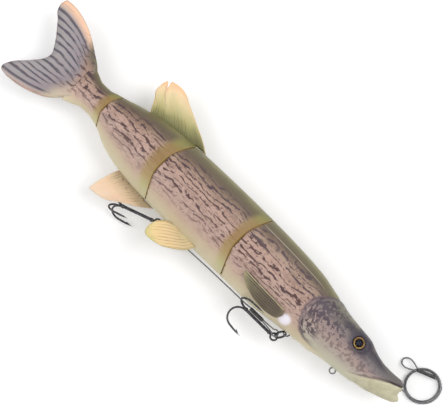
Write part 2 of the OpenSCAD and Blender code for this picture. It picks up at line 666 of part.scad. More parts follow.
module leader_coil() {
    color("slategray") at_nose() translate([coil_c.x, coil_c.y, 0]) rotate_extrude($fn = 96)
        translate([coil_r - coil_w / 2, 0]) square([coil_w, coil_h]);
}
module leader_loop() {
    color("slategray") at_nose() cord_tube(LEADER_END, leader_d / 2);
}
module leader_sleeve() {
    color("black") at_nose() rod([148.7, 20.1, 3], [159, 24.1, 3], 1.1);
}

front_segment();
mid_segment();
rear_segment();
tail_segment();
dorsal_fin();
anal_fin();
pelvic_fin(1);  // pelvic_fin_right
pelvic_fin(-1);  // pelvic_fin_left
pectoral_fin(1);  // pectoral_fin_right
pectoral_fin(-1);  // pectoral_fin_left
tail_fin();
tail_fin_pin();
eye_disc(1);  // eye_disc_right
eye_disc(-1);  // eye_disc_left
eye_dome(1);  // eye_dome_right
eye_dome(-1);  // eye_dome_left
chin_eyelet();
line_tube();
color("silver") hinge_eyes(joint_1_x, BODY_EYES, pin_d, hinge_wire_d, socket_1_r);  // front_hinge_eyes
color("silver") hinge_pin(joint_1_x, BODY_EYES, pin_d / 2, pin_over);  // front_hinge_pin
color("silver") hinge_eyes(joint_2_x, BODY_EYES, pin_d, hinge_wire_d, socket_2_r);  // middle_hinge_eyes
color("silver") hinge_pin(joint_2_x, BODY_EYES, pin_d / 2, pin_over);  // middle_hinge_pin
color("silver") hinge_eyes(joint_3_x, TAIL_EYES, tail_pin_d, tail_wire_d, socket_3_r);  // tail_hinge_eyes
color("silver") hinge_pin(joint_3_x, TAIL_EYES, tail_pin_d / 2, pin_over);  // tail_hinge_pin
color("gray") slug(joint_1_x, socket_1_r, front_slug_d, front_slug_l, 0);  // front_ballast
color("gray") slug(joint_2_x, socket_2_r, mid_slug_d, mid_slug_l, 0);  // middle_ballast
leader_core();
leader_wire();
leader_coil();
leader_loop();
leader_sleeve();
split_ring();
front_treble();
stinger_wire();
front_crimp();
rear_crimp();
rear_treble();
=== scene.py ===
import json
import math
import bpy
import bmesh
from mathutils import Matrix, Vector
from mathutils.bvhtree import BVHTree
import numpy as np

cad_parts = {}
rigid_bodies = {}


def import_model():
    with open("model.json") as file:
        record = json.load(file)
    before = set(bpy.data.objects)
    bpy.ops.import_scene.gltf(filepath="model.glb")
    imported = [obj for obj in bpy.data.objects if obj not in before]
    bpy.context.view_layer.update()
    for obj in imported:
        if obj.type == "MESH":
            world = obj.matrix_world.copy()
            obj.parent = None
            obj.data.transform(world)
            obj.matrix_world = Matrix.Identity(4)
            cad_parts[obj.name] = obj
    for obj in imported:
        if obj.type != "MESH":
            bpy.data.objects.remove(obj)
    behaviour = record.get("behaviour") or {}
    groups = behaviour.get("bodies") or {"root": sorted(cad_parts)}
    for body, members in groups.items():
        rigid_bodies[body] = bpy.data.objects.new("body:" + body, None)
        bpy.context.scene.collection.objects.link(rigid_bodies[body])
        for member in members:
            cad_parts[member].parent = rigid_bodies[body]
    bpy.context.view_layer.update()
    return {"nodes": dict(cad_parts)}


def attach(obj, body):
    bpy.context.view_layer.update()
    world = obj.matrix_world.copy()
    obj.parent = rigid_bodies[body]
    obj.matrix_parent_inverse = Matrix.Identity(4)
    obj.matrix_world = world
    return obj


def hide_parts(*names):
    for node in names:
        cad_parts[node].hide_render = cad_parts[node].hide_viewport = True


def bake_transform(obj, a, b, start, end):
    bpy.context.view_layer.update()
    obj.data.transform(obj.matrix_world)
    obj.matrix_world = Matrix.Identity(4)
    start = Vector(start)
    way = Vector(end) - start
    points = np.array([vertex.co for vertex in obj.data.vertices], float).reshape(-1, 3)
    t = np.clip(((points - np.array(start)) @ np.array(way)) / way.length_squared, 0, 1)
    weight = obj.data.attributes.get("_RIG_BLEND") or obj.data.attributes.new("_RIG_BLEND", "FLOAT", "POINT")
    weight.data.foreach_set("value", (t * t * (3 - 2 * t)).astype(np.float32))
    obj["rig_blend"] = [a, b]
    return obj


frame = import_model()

# Jointed swimbait: it lies on its left flank, +X to the nose, +Y to the back, +Z up.
# Sizes and places are in millimetres until mm makes them metres, but view and stage are in metres.
# A colour of three numbers is in sRGB bytes, which link and ramp make linear.
nodes = frame["nodes"]
mm = 0.001

view = {
    "lens": 100.0,
    "sensor": 36.0,
    "height": 0.7150,  # metres above the aim
    "aim": (-0.0036, 0.0095, 0.0155),
    "roll": 44.5,
    "imageWidth": 443,
    "imageHeight": 405,
}
camData = bpy.data.cameras.new("photoCamera")
camData.lens = view["lens"]
camData.sensor_width = view["sensor"]
camData.sensor_fit = "AUTO"
camera = bpy.data.objects.new("photoCamera", camData)
bpy.context.scene.collection.objects.link(camera)
camera.location = Vector(view["aim"]) + Vector((0, 0, view["height"]))
camera.rotation_euler = (0, 0, math.radians(view["roll"]))
bpy.context.scene.camera = camera
bpy.context.scene.view_settings.view_transform = "Standard"
bpy.context.view_layer.update()

# Image points of the photograph, in its own pixels
imagePoints = {
    "left": (1.0, None),
    "top": (None, 0.5),
    "right": (402.0, None),
    "bottom": (None, 401.0),
    "tailUpperTip": (65.9, 0.5),
    "tailFork": (51.6, 53.5),
    "eye": (358.2, 341.3),
    "chinEyelet": (332.9, 370.0),
    "dorsalTop": (182.4, 89.9),
    "dorsalFront": (206.6, 155.4),
    "analTip": (88.3, 187.4),
    "pelvicTip": (146.3, 230.1),
    "pectoralTip": (245.4, 268.4),
    "frontHookPoint": (237.0, 336.9),
    "rearHookBend": (106.7, 205.0),
    "splitRing": (280.0, 334.9),
    "frontLip": (240.2, 237.6),
    "middleLip": (165.6, 162.5),
    "coilCentre": (423.1, 386.0),
    # image point of the white glare on the right flank, which is painted on as a highlight
    "glareSpot": (284.5, 319.4),
}
imageLong = max(view["imageWidth"], view["imageHeight"])


def cameraRay(point):
    x, y = point
    aim = Vector((
        x - view["imageWidth"] / 2 + camData.shift_x * imageLong,
        view["imageHeight"] / 2 - y + camData.shift_y * imageLong,
        -imageLong * camData.lens / camData.sensor_width,
    ))
    return camera.location.copy(), (camera.matrix_world.to_3x3() @ aim).normalized()


def corners(piece):
    return [piece.matrix_world @ vert.co for vert in piece.data.vertices]


def onSurface(point, piece):
    start, way = cameraRay(point)
    places = corners(piece)
    tree = BVHTree.FromPolygons(places, [tuple(face.vertices) for face in piece.data.polygons])
    hit = tree.ray_cast(start, way)[0]
    return hit or min(places, key=lambda place: (place - start).cross(way).length)


def toImage(place):
    p = camera.matrix_world.inverted() @ Vector(place)
    k = -imageLong * camData.lens / camData.sensor_width / p.z
    return (
        p.x * k + view["imageWidth"] / 2 - camData.shift_x * imageLong,
        view["imageHeight"] / 2 - p.y * k + camData.shift_y * imageLong,
    )


def smooth(low, high, x):
    t = min(1.0, max(0.0, (x - low) / (high - low)))
    return t * t * (3 - 2 * t)


def placed(name, mesh, material, smoothShade=True):
    piece = bpy.data.objects.new(name, mesh)
    bpy.context.scene.collection.objects.link(piece)
    mesh.materials.clear()
    mesh.materials.append(material)
    for face in mesh.polygons:
        face.use_smooth = smoothShade
    return piece


def fromBmesh(name, bm, material, smoothShade=True):
    mesh = bpy.data.meshes.new(name)
    bm.to_mesh(mesh)
    bm.free()
    return placed(name, mesh, material, smoothShade)


# Distance from a line, which side of it, and how far along it
def nearestOnLine(point, line):
    best = None
    for i in range(len(line) - 1):
        a, b = line[i], line[i + 1]
        dx, dy = b[0] - a[0], b[1] - a[1]
        t = ((point[0] - a[0]) * dx + (point[1] - a[1]) * dy) / (dx * dx + dy * dy)
        t = min(1.0, max(0.0, t))
        away = math.hypot(a[0] + t * dx - point[0], a[1] + t * dy - point[1])
        side = dx * (point[1] - a[1]) - dy * (point[0] - a[0])
        if best is None or away < best[0]:
            best = (away, side, (i + t) / (len(line) - 1))
    return best


# A curve through one column of the rows that never overshoots them
def monotone(rows, column):
    xs = [row[0] for row in rows]
    ys = [row[column] for row in rows]
    slopes = [(ys[i + 1] - ys[i]) / (xs[i + 1] - xs[i]) for i in range(len(xs) - 1)]
    tangents = [slopes[0]]
    for a, b in zip(slopes, slopes[1:]):
        tangents.append(2 * a * b / (a + b) if a * b > 0 else 0.0)
    tangents.append(slopes[-1])

    def at(x):
        x = min(xs[-1], max(xs[0], x))
        i = max(k for k in range(len(xs) - 1) if xs[k] <= x)
        h = xs[i + 1] - xs[i]
        t = (x - xs[i]) / h
        return (
            (2 * t ** 3 - 3 * t ** 2 + 1) * ys[i]
            + (t ** 3 - 2 * t ** 2 + t) * h * tangents[i]
            + (3 * t ** 2 - 2 * t ** 3) * ys[i + 1]
            + (t ** 3 - t ** 2) * h * tangents[i + 1]
        )
    return at


# A smooth path through the points, with a place about every step
def throughPoints(points, step):
    points = [Vector(p) for p in points]
    ends = [2 * points[0] - points[1]] + points + [2 * points[-1] - points[-2]]
    out = []
    for i in range(1, len(ends) - 2):
        a, b, c, d = ends[i - 1 : i + 3]
        count = max(1, round((c - b).length / step))
        for t in (k / count for k in range(count)):
            out.append(0.5 * (
                2 * b + (c - a) * t + (2 * a - 5 * b + 4 * c - d) * t * t
                + (3 * b - a - 3 * c + d) * t ** 3
            ))
    out.append(points[-1])
    return out


def pathLength(path):
    return sum((b - a).length for a, b in zip(path, path[1:]))


# A round wire along a path; the radius is a number or a list of them
def tube(name, path, radius, material, closed=False, sides=4):
    data = bpy.data.curves.new(name, "CURVE")
    data.dimensions = "3D"
    data.bevel_depth = 1.0
    data.bevel_resolution = sides
    data.use_fill_caps = not closed
    spline = data.splines.new("POLY")
    spline.points.add(len(path) - 1)
    for i, p in enumerate(path):
        spline.points[i].co = (*p, 1)
        spline.points[i].radius = radius[i] if isinstance(radius, list) else radius
    spline.use_cyclic_u = closed
    helper = bpy.data.objects.new(name + "Curve", data)
    bpy.context.scene.collection.objects.link(helper)
    bpy.context.view_layer.update()
    graph = bpy.context.evaluated_depsgraph_get()
    mesh = bpy.data.meshes.new_from_object(helper.evaluated_get(graph))
    bpy.data.objects.remove(helper)
    bpy.data.curves.remove(data)
    mesh.name = name
    return placed(name, mesh, material)


def joined(name, parts):
    bm = bmesh.new()
    for part in parts:
        bm.from_mesh(part.data)
    material = parts[0].data.materials[0]
    for part in parts:
        bpy.data.objects.remove(part)
    return fromBmesh(name, bm, material)


def fit(piece, carrier, node):
    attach(piece, carrier)
    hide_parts(node)


# Colours and material nodes
def srgb(*byteColor):
    out = []
    for c in byteColor:
        c = c / 255
        out.append(c / 12.92 if c <= 0.04045 else ((c + 0.055) / 1.055) ** 2.4)
    return (*out, 1.0)


def link(tree, source, target):
    if hasattr(source, "is_output"):
        tree.links.new(source, target)
    elif isinstance(source, tuple):
        target.default_value = srgb(*source)
    else:
        target.default_value = source


def newMaterial(name, roughness, metallic=0.0, **sockets):
    material = bpy.data.materials.new(name)
    material.use_nodes = True
    shader = material.node_tree.nodes["Principled BSDF"]
    shader.inputs["Roughness"].default_value = roughness
    shader.inputs["Metallic"].default_value = metallic
    for key, value in sockets.items():
        shader.inputs[key.replace("_", " ")].default_value = value
    return material, material.node_tree, shader


def calc(tree, operation, a, b=0.0):
    node = tree.nodes.new("ShaderNodeMath")
    node.operation = operation
    link(tree, a, node.inputs[0])
    link(tree, b, node.inputs[1])
    return node.outputs[0]


def times(tree, value, *others):
    for other in others:
        value = calc(tree, "MULTIPLY", value, other)
    return value


def plus(tree, value, *others):
    for other in others:
        value = calc(tree, "ADD", value, other)
    return value


def inverse(tree, mask):
    return calc(tree, "SUBTRACT", 1.0, mask)


def apart(tree, a, b):
    return calc(tree, "ABSOLUTE", calc(tree, "SUBTRACT", a, b))


# A value about 0.5 made a swing about 0, of the given reach
def swing(tree, value, reach):
    return times(tree, calc(tree, "SUBTRACT", value, 0.5), reach)


def ranged(tree, value, low, high, outLow=0.0, outHigh=1.0):
    node = tree.nodes.new("ShaderNodeMapRange")
    node.interpolation_type = "SMOOTHSTEP"
    link(tree, value, node.inputs["Value"])
    for key, number in zip(("From Min", "From Max", "To Min", "To Max"), (low, high, outLow, outHigh)):
        link(tree, number, node.inputs[key])
    return node.outputs["Result"]


def mixed(tree, factor, a, b):
    node = tree.nodes.new("ShaderNodeMix")
    node.data_type = "RGBA"
    link(tree, factor, node.inputs["Factor"])
    link(tree, a, node.inputs[6])
    link(tree, b, node.inputs[7])
    return node.outputs[2]


def stretched(tree, vector, scale, move=(0, 0, 0)):
    node = tree.nodes.new("ShaderNodeMapping")
    node.inputs["Scale"].default_value = scale
    node.inputs["Location"].default_value = move
    link(tree, vector, node.inputs["Vector"])
    return node.outputs["Vector"]


def objectPlace(tree, scale=(1, 1, 1), move=(0, 0, 0)):
    return stretched(tree, tree.nodes.new("ShaderNodeTexCoord").outputs["Object"], scale, move)


def noise(tree, vector, scale, detail=3.0, roughness=0.5, distortion=0.0):
    node = tree.nodes.new("ShaderNodeTexNoise")
    link(tree, vector, node.inputs["Vector"])
    settings = {"Scale": scale, "Detail": detail, "Roughness": roughness, "Distortion": distortion}
    for key, number in settings.items():
        link(tree, number, node.inputs[key])
    return node.outputs["Fac"]


def attribute(tree, name):
    node = tree.nodes.new("ShaderNodeAttribute")
    node.attribute_name = name
    return node.outputs["Fac"]


def splitUp(tree, vector):
    node = tree.nodes.new("ShaderNodeSeparateXYZ")
    link(tree, vector, node.inputs["Vector"])
    return node.outputs["X"], node.outputs["Y"]


def together(tree, x, y):
    node = tree.nodes.new("ShaderNodeCombineXYZ")
    link(tree, x, node.inputs["X"])
    link(tree, y, node.inputs["Y"])
    return node.outputs["Vector"]


def ramp(tree, value, stops):
    node = tree.nodes.new("ShaderNodeValToRGB")
    link(tree, value, node.inputs["Fac"])
    band = node.color_ramp.elements
    band.remove(band[-1])
    band[0].position = stops[0][0]
    band[0].color = srgb(*stops[0][1])
    for position, color in stops[1:]:
        band.new(position).color = srgb(*color)
    return node.outputs["Color"]


def bump(tree, shader, height, strength, distance):
    node = tree.nodes.new("ShaderNodeBump")
    node.inputs["Strength"].default_value = strength
    node.inputs["Distance"].default_value = distance
    link(tree, height, node.inputs["Height"])
    link(tree, node.outputs["Normal"], shader.inputs["Normal"])


# A node group: an input without a value is a vector, everything else a number
def newGroup(name, inputs, outputs):
    group = bpy.data.node_groups.new(name, "ShaderNodeTree")
    for label, value in inputs.items():
        kind = "NodeSocketVector" if value is None else "NodeSocketFloat"
        socket = group.interface.new_socket(label, in_out="INPUT", socket_type=kind)
        if value is not None:
            socket.default_value = value
    for label in outputs:
        group.interface.new_socket(label, in_out="OUTPUT", socket_type="NodeSocketFloat")
    return group, group.nodes.new("NodeGroupInput").outputs, group.nodes.new("NodeGroupOutput").inputs


def useGroup(tree, group, **values):
    node = tree.nodes.new("ShaderNodeGroup")
    node.node_tree = group
    for key, value in values.items():
        link(tree, value, node.inputs[key])
    return node.outputs


# Worm-like lines: wavy stripes along the bait, swelling, thinning and broken by a noise
wormLines, given, made = newGroup(
    "wormLines", {"Vector": None, "Scale": 200.0, "Width": 0.15, "Broken": 0.5}, ("Mask",))
vector, scale, broken = given["Vector"], given["Scale"], given["Broken"]
broad = noise(wormLines, vector, times(wormLines, scale, 0.3), 1.0)
kinks = noise(wormLines, vector, times(wormLines, scale, 0.9), 2.0)
phase = plus(
    wormLines, times(wormLines, splitUp(wormLines, vector)[1], scale), times(wormLines, broad, 2.7),
    times(wormLines, kinks, 1.6))
swell = noise(wormLines, vector, times(wormLines, scale, 2.2), 2.0)
wide = times(wormLines, given["Width"], ranged(wormLines, swell, 0.32, 0.68, 0.5, 1.4))
stripes = ranged(
    wormLines, apart(wormLines, calc(wormLines, "FRACT", phase), 0.5), wide, times(wormLines, wide, 0.5))
gaps = noise(wormLines, stretched(wormLines, vector, (1.7, 1.0, 1.0)), scale, 2.0)
kept = ranged(wormLines, gaps, broken, plus(wormLines, broken, 0.06))
link(wormLines, times(wormLines, stripes, kept), made["Mask"])

# Small overlapping scales, as a height
scaleRelief, given, made = newGroup("scaleRelief", {"Vector": None, "Scale": 700.0}, ("Height",))
cells = scaleRelief.nodes.new("ShaderNodeTexVoronoi")
cells.feature = "F1"
link(scaleRelief, given["Vector"], cells.inputs["Vector"])
link(scaleRelief, given["Scale"], cells.inputs["Scale"])
cells.inputs["Randomness"].default_value = 0.35
link(scaleRelief, ranged(scaleRelief, cells.outputs["Distance"], 0.75, 0.15), made["Height"])

# Fine wear and dust on metal, as a mask
metalWear, given, made = newGroup("metalWear", {"Scale": 900.0, "Amount": 0.5}, ("Mask",))
rough = noise(metalWear, objectPlace(metalWear), given["Scale"], 4.0, 0.6)
link(metalWear, times(metalWear, ranged(metalWear, rough, 0.4, 0.65), given["Amount"]), made["Mask"])


def metalFinish(name, roughness, metallic, clean, worn, scale, amount, polish=None):
    material, tree, shader = newMaterial(name, roughness, metallic)
    wear = useGroup(tree, metalWear, Scale=scale, Amount=amount)["Mask"]
    link(tree, mixed(tree, wear, clean, worn), shader.inputs["Base Color"])
    if polish:
        link(tree, ranged(tree, wear, 0, amount, *polish), shader.inputs["Roughness"])
    return material


print("helpers ready")

# Leader: a free cord from the mouth through its coil to the end loop
leader = {
    "diameter": 0.9,
    "out": (
        (147.2, 5.2, 15.5), (149.4, 5.6, 15.2), (151.9, 5.6, 14.6), (154.5, 5.5, 13.7), (157.0, 5.7, 12.7),
        (159.6, 6.4, 11.6), (162.0, 7.5, 10.5), (164.1, 9.3, 9.4), (165.7, 11.3, 8.3), (166.7, 13.7, 7.2),
        (167.1, 16.2, 6.2), (166.8, 18.6, 5.3), (165.9, 21.0, 4.5), (164.4, 23.0, 3.8), (162.4, 24.5, 3.2),
        (160.2, 25.6, 2.8), (157.7, 26.0, 2.5)),
    "end": (
        (163.0, 23.5, 2.4), (161.0, 24.1, 2.7), (159.0, 23.5, 3.0), (156.5, 22.6, 3.0), (154.0, 21.6, 3.0),
        (151.4, 20.7, 3.0), (148.9, 19.6, 3.0), (146.6, 18.3, 2.9), (144.3, 17.0, 2.5), (142.1, 16.1, 1.9),
        (140.0, 16.2, 1.3), (138.7, 17.3, 0.9), (138.3, 19.0, 0.7), (139.1, 20.7, 0.8), (140.9, 21.8, 1.2),
        (143.2, 21.9, 1.8), (145.8, 21.3, 2.4), (148.5, 20.7, 2.9), (150.8, 21.5, 3.0), (153.1, 22.4, 3.0)),
    "coil": (157.6, 15.6),
    "coilRadius": 10.15,
    "turns": 3,
    "coilFrom": 92.0,  # degrees
    "coilShort": 37.0,  # degrees that the last turn lacks
    "perTurn": 22,
}


def coilPoints():
    out = []
    turns = leader["turns"]
    count = leader["perTurn"] * turns
    for i in range(1, count):
        share = i / count
        angle = math.radians(leader["coilFrom"] + (360 * turns - leader["coilShort"]) * share)
        turn = share * turns
        radius = leader["coilRadius"] + 0.7 * math.sin(turn * 2.3 + 0.4) + 0.25 * math.sin(angle * 2)
        height = 2.1 - 1.6 * smooth(0.0, 0.8, turn) + 1.3 * smooth(1.7, 3.0, turn)
        x, y = leader["coil"]
        out.append((x + radius * math.cos(angle), y + radius * math.sin(angle), height))
    return out


leaderRoute = throughPoints(
    [Vector(p) * mm for p in (*leader["out"], *coilPoints(), *leader["end"])], 0.9 * mm)

wireSteel = metalFinish(
    "leaderSteel", 0.34, 0.9, (92, 92, 96), (136, 134, 132), 1400.0, 0.6, (0.3, 0.5))
tree = wireSteel.node_tree
strands = tree.nodes.new("ShaderNodeTexWave")
link(tree, objectPlace(tree), strands.inputs["Vector"])
strands.bands_direction = "DIAGONAL"
strands.inputs["Scale"].default_value = 900
strands.inputs["Distortion"].default_value = 1.5
bump(tree, tree.nodes["Principled BSDF"], strands.outputs["Fac"], 0.5, 0.00012)

leaderPiece = tube("leader", leaderRoute, leader["diameter"] / 2 * mm, wireSteel)
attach(leaderPiece, "front_body")
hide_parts("leader_wire", "leader_coil", "leader_loop")

# Body: rows of distance from the nose, back, belly and half width
body = {
    "nose": 150.0,
    "axisY": 1.0,
    "midZ": 15.5,
    "roundUp": 2.2,
    "roundDown": 1.8,
    "rim": 0.8,
    "jointGap": 0.6,
    "around": 176,
    "bandDip": 0.45,
    "rows": (
        (0, -1.6, -2.8, 1.3), (1, -0.4, -4.2, 2.5), (3, 1, -5.6, 3.7), (3.6, 6.6, -5.8, 3.9),
        (5, 7.4, -6.4, 4.4), (7, 8, -7.2, 5), (13, 7.6, -9.2, 6), (19, 7.7, -11.2, 6.7),
        (24, 8.5, -12, 7.3), (30, 10.2, -13.6, 8), (36, 12.4, -14.4, 8.9), (48, 13.7, -15.5, 11),
        (54, 14.5, -16.7, 12.3), (59, 15.4, -17.8, 13.6), (65, 16.7, -18.2, 14.8),
        (71, 18, -19, 15.5), (82, 20.2, -20.1, 15.5), (100, 21.6, -22.1, 15.5),
        (118, 22.2, -22.3, 15.5), (140, 22.4, -22.4, 15.5), (175, 21.8, -21.8, 15.5),
        (193, 20.8, -21.3, 14.7), (211, 18.9, -19.7, 13), (222, 16.4, -17.3, 11.4),
        (228, 14.8, -15.2, 10.2), (234, 12.8, -12.2, 9), (240, 11.2, -10.2, 7.9),
        (246, 9.6, -9.3, 6.7), (251, 9.6, -9.5, 5.4), (256, 11.4, -11.5, 3.8), (262, 13.8, -13.8, 2)),
    "tailEnd": -112.0,
    "bellyLoop": (76.6, -17.94, 15.5),
    "well": (2.3, 3.6, 2.4),  # round that loop in the belly: inner and outer radius, depth
}
joints = {
    "front": {"edge": 19.0, "axis": 6.1875, "socket": 19.5, "band": 5.8},
    "middle": {"edge": -43.0, "axis": -53.632, "socket": 17.5, "band": 7.5},
    "tail": {"edge": -89.5, "axis": -94.911, "socket": 9.0, "band": 5.0},
}
gillLine = (
    (93, 18.5), (86, 17.6), (80, 14.8), (74.9, 11.2), (72, 7), (71.4, 1), (74.9, -7), (79.1, -11.2),
    (84.5, -12.9), (92, -13.2), (99.5, -12.2))
mouthLine = (
    (146.8, 6.6), (143.6, 5.6), (138.5, 3.6), (134.6, 1.4), (130.8, -0.9), (125.8, -4.4), (120.5, -7.6),
    (116.5, -9.4))
eyePlace = (109.6, 7.4)
headRelief = {
    "gillLift": 0.5,
    "gillGroove": 0.35,
    "lipGroove": 0.95,
    "lipBelow": 0.32,
    "lipAbove": 0.2,
    "eyeRim": 0.35,
    "eyeDepth": 1.9,
    "humps": (  # brow, nostril and cheek hollow: height, x, y and reach in x and y
        (0.5, 112, 11.6, 7, 1.6), (-0.35, 133.5, 6.6, 1.0, 0.5), (-0.5, 124, 4.5, 12, 2.6)),
}
backLine = monotone(body["rows"], 1)
bellyLine = monotone(body["rows"], 2)
widthLine = monotone(body["rows"], 3)


def backY(x):
    return body["axisY"] + backLine(body["nose"] - x)


def bellyY(x):
    return body["axisY"] + bellyLine(body["nose"] - x)


def halfWidth(x):
    return widthLine(body["nose"] - x)


def roundPower(upward):
    return 2 / (body["roundUp"] if upward > 0 else body["roundDown"])


def section(x, angle):
    s, c = math.sin(angle), math.cos(angle)
    power = roundPower(s)
    high, low = backY(x), bellyY(x)
    y = (high + low) / 2 + (high - low) / 2 * math.copysign(abs(s) ** power, s)
    z = halfWidth(x) * math.copysign(abs(c) ** power, c)
    return y, z


def flankZ(x, y):
    high, low = backY(x), bellyY(x)
    s = max(-1.0, min(1.0, (y - (high + low) / 2) / ((high - low) / 2)))
    power = roundPower(s)
    return halfWidth(x) * max(0.0, 1 - abs(s) ** (2 / power)) ** (power / 2)


def onDrum(joint, radius, z):
    return joint["axis"] + math.sqrt(max(0.0, radius * radius - z * z))


# Rear edge of a segment: the drum socket of its joint, with a straight rim at the flanks
def rearEdge(joint, angle):
    inner = halfWidth(joint["edge"]) - body["rim"]
    x = joint["edge"]
    for _ in range(4):
        y, z = section(x, angle)
        x = joint["edge"] if abs(z) > inner else onDrum(joint, joint["socket"], z)
    y, z = section(x, angle)
    return x, y, z, math.copysign(min(abs(z), inner), z)


# Front edge of a segment, on the drum of the joint ahead of it
def frontEdge(joint, angle):
    x = joint["edge"]
    for _ in range(6):
        y, z = section(x, angle)
        x = onDrum(joint, joint["socket"] - body["jointGap"], z)
    return x, y, z


# Gill plate, mouth crease, brow, nostril and eye socket, as a push along the normal
def relief(x, y):
    out = 0.0
    if x > 60:
        away, side, along = nearestOnLine((x, y), gillLine)
        fade = smooth(0.0, 0.12, along) * (1 - smooth(0.85, 1.0, along))
        if side > 0:
            out += headRelief["gillLift"] * fade * smooth(0.0, 1.2, away) * (1 - smooth(5.0, 16.0, away))
        out -= headRelief["gillGroove"] * fade * math.exp(-(away / 0.7) ** 2)
    if x > 100:
        away, side, along = nearestOnLine((x, y), mouthLine)
        out -= headRelief["lipGroove"] * math.exp(-(away / 0.55) ** 2) * (1 - 0.6 * smooth(0.8, 1.0, along))
        out += headRelief["lipBelow" if side < 0 else "lipAbove"] * math.exp(-((away - 1.5) / 0.8) ** 2)
        eyeAway = math.hypot(x - eyePlace[0], (y - eyePlace[1]) / 0.95)
        out += headRelief["eyeRim"] * math.exp(-((eyeAway - 4.9) / 0.8) ** 2)
        for height, atX, atY, wideX, wideY in headRelief["humps"]:
            out += height * math.exp(-(((x - atX) / wideX) ** 2 + ((y - atY) / wideY) ** 2))
        out -= headRelief["eyeDepth"] * (1 - smooth(3.7, 4.15, eyeAway))
    return out


# One segment: a tube of stations from its rear socket or cap to its nose cap or tip
def bodyShell(name, rear, front, rings, material):
    joint = joints.get(rear)
    ahead = joints.get(front)
    if joint:
        stations = [("socket", share) for share in (0, 0.3, 0.6, 0.8, 0.92, 1)]
    else:
        stations = [("endCap", share) for share in (0, 0.4, 0.75, 0.93)]
    stations += [("skin", i / rings) for i in range(rings + 1)]
    if ahead:
        stations += [("noseCap", share) for share in (0.97, 0.9, 0.8, 0.65, 0.5, 0.35, 0.2, 0.1, 0)]
    else:
        stations += [("tip", share) for share in (0.85, 0.5, 0)]

    bm = bmesh.new()
    bmesh.ops.create_grid(bm, x_segments=len(stations) - 1, y_segments=body["around"], size=0.5)
    layers = bm.verts.layers.float
    height = layers.new("heightShare")
    bandMask = layers.new("band")
    inside = layers.new("inside")
    uv = bm.loops.layers.uv.new("flank")
    for vert in bm.verts:
        row = round((vert.co.x + 0.5) * (len(stations) - 1))
        turn = round((vert.co.y + 0.5) * body["around"]) % body["around"]
        angle = 2 * math.pi * (turn + 0.5) / body["around"]
        kind, share = stations[row]
        if joint:
            xr, yr, zr, inner = rearEdge(joint, angle)
        else:
            xr = body["tailEnd"]
            yr, zr = section(xr, angle)
        if ahead:
            xf, yf, zf = frontEdge(ahead, angle)
        else:
            xf = body["nose"]
        if kind == "socket":
            z = inner * share
            x = xr if share == 1 and abs(inner) < abs(zr) else onDrum(joint, joint["socket"], z)
            y = yr
        elif kind == "endCap":
            mid = (backY(xr) + bellyY(xr)) / 2
            x, y, z = xr, mid + (yr - mid) * share, zr * share
        elif kind == "skin":
            x = xr + (xf - xr) * (share if ahead else 1 - (1 - share) ** 1.35)
            y, z = section(x, angle)
        elif kind == "noseCap":
            z = zf * share
            x, y = onDrum(ahead, ahead["socket"] - body["jointGap"], z), yf
        else:
            y, z = section(xf, angle)
            mid = (backY(xf) + bellyY(xf)) / 2
            x = xf + 0.35 * math.sqrt(1 - share * share)
            y, z = mid + (y - mid) * share, z * share
        high, low = backY(x), bellyY(x)
        vert[height] = min(1.0, max(0.0, (y - low) / (high - low)))
        vert[inside] = 0.0 if kind in ("skin", "tip") else 1.0
        if ahead and kind in ("skin", "noseCap"):
            rim = halfWidth(ahead["edge"]) - body["rim"]
            lip = ahead["edge"] if abs(z) > rim else onDrum(ahead, ahead["socket"], z)
            vert[bandMask] = 1 - smooth(0.7 * ahead["band"], 1.5 * ahead["band"], lip - x)
        vert.co = (x, y, z + body["midZ"])
    bmesh.ops.remove_doubles(bm, verts=bm.verts, dist=0.004)
    bmesh.ops.recalc_face_normals(bm, faces=bm.faces)
    bm.normal_update()

    wellX = body["bellyLoop"][0]
    wellInner, wellOuter, wellDepth = body["well"]
    shifts = []
    for vert in bm.verts:
        x, y, z = vert.co
        z -= body["midZ"]
        shift = Vector((0, 0, 0))
        if vert[inside] == 0.0:
            push = relief(x, y)
            if abs(z) < 0.7 and x > 100:
                push *= abs(z) / 0.7
            if ahead:
                push -= body["bandDip"] * vert[bandMask] * smooth(2, 6, abs(z))
            shift = vert.normal * push
            if front is None and y < 0:
                shift.y += wellDepth * (1 - smooth(wellInner, wellOuter, math.hypot(x - wellX, z)))
        shifts.append(shift)
    for vert, shift in zip(bm.verts, shifts):
        vert.co = (vert.co + shift) * mm
    for face in bm.faces:
        for loop in face.loops:
            loop[uv].uv = (loop.vert.co.x, loop.vert[height])
    return fromBmesh(name, bm, material)


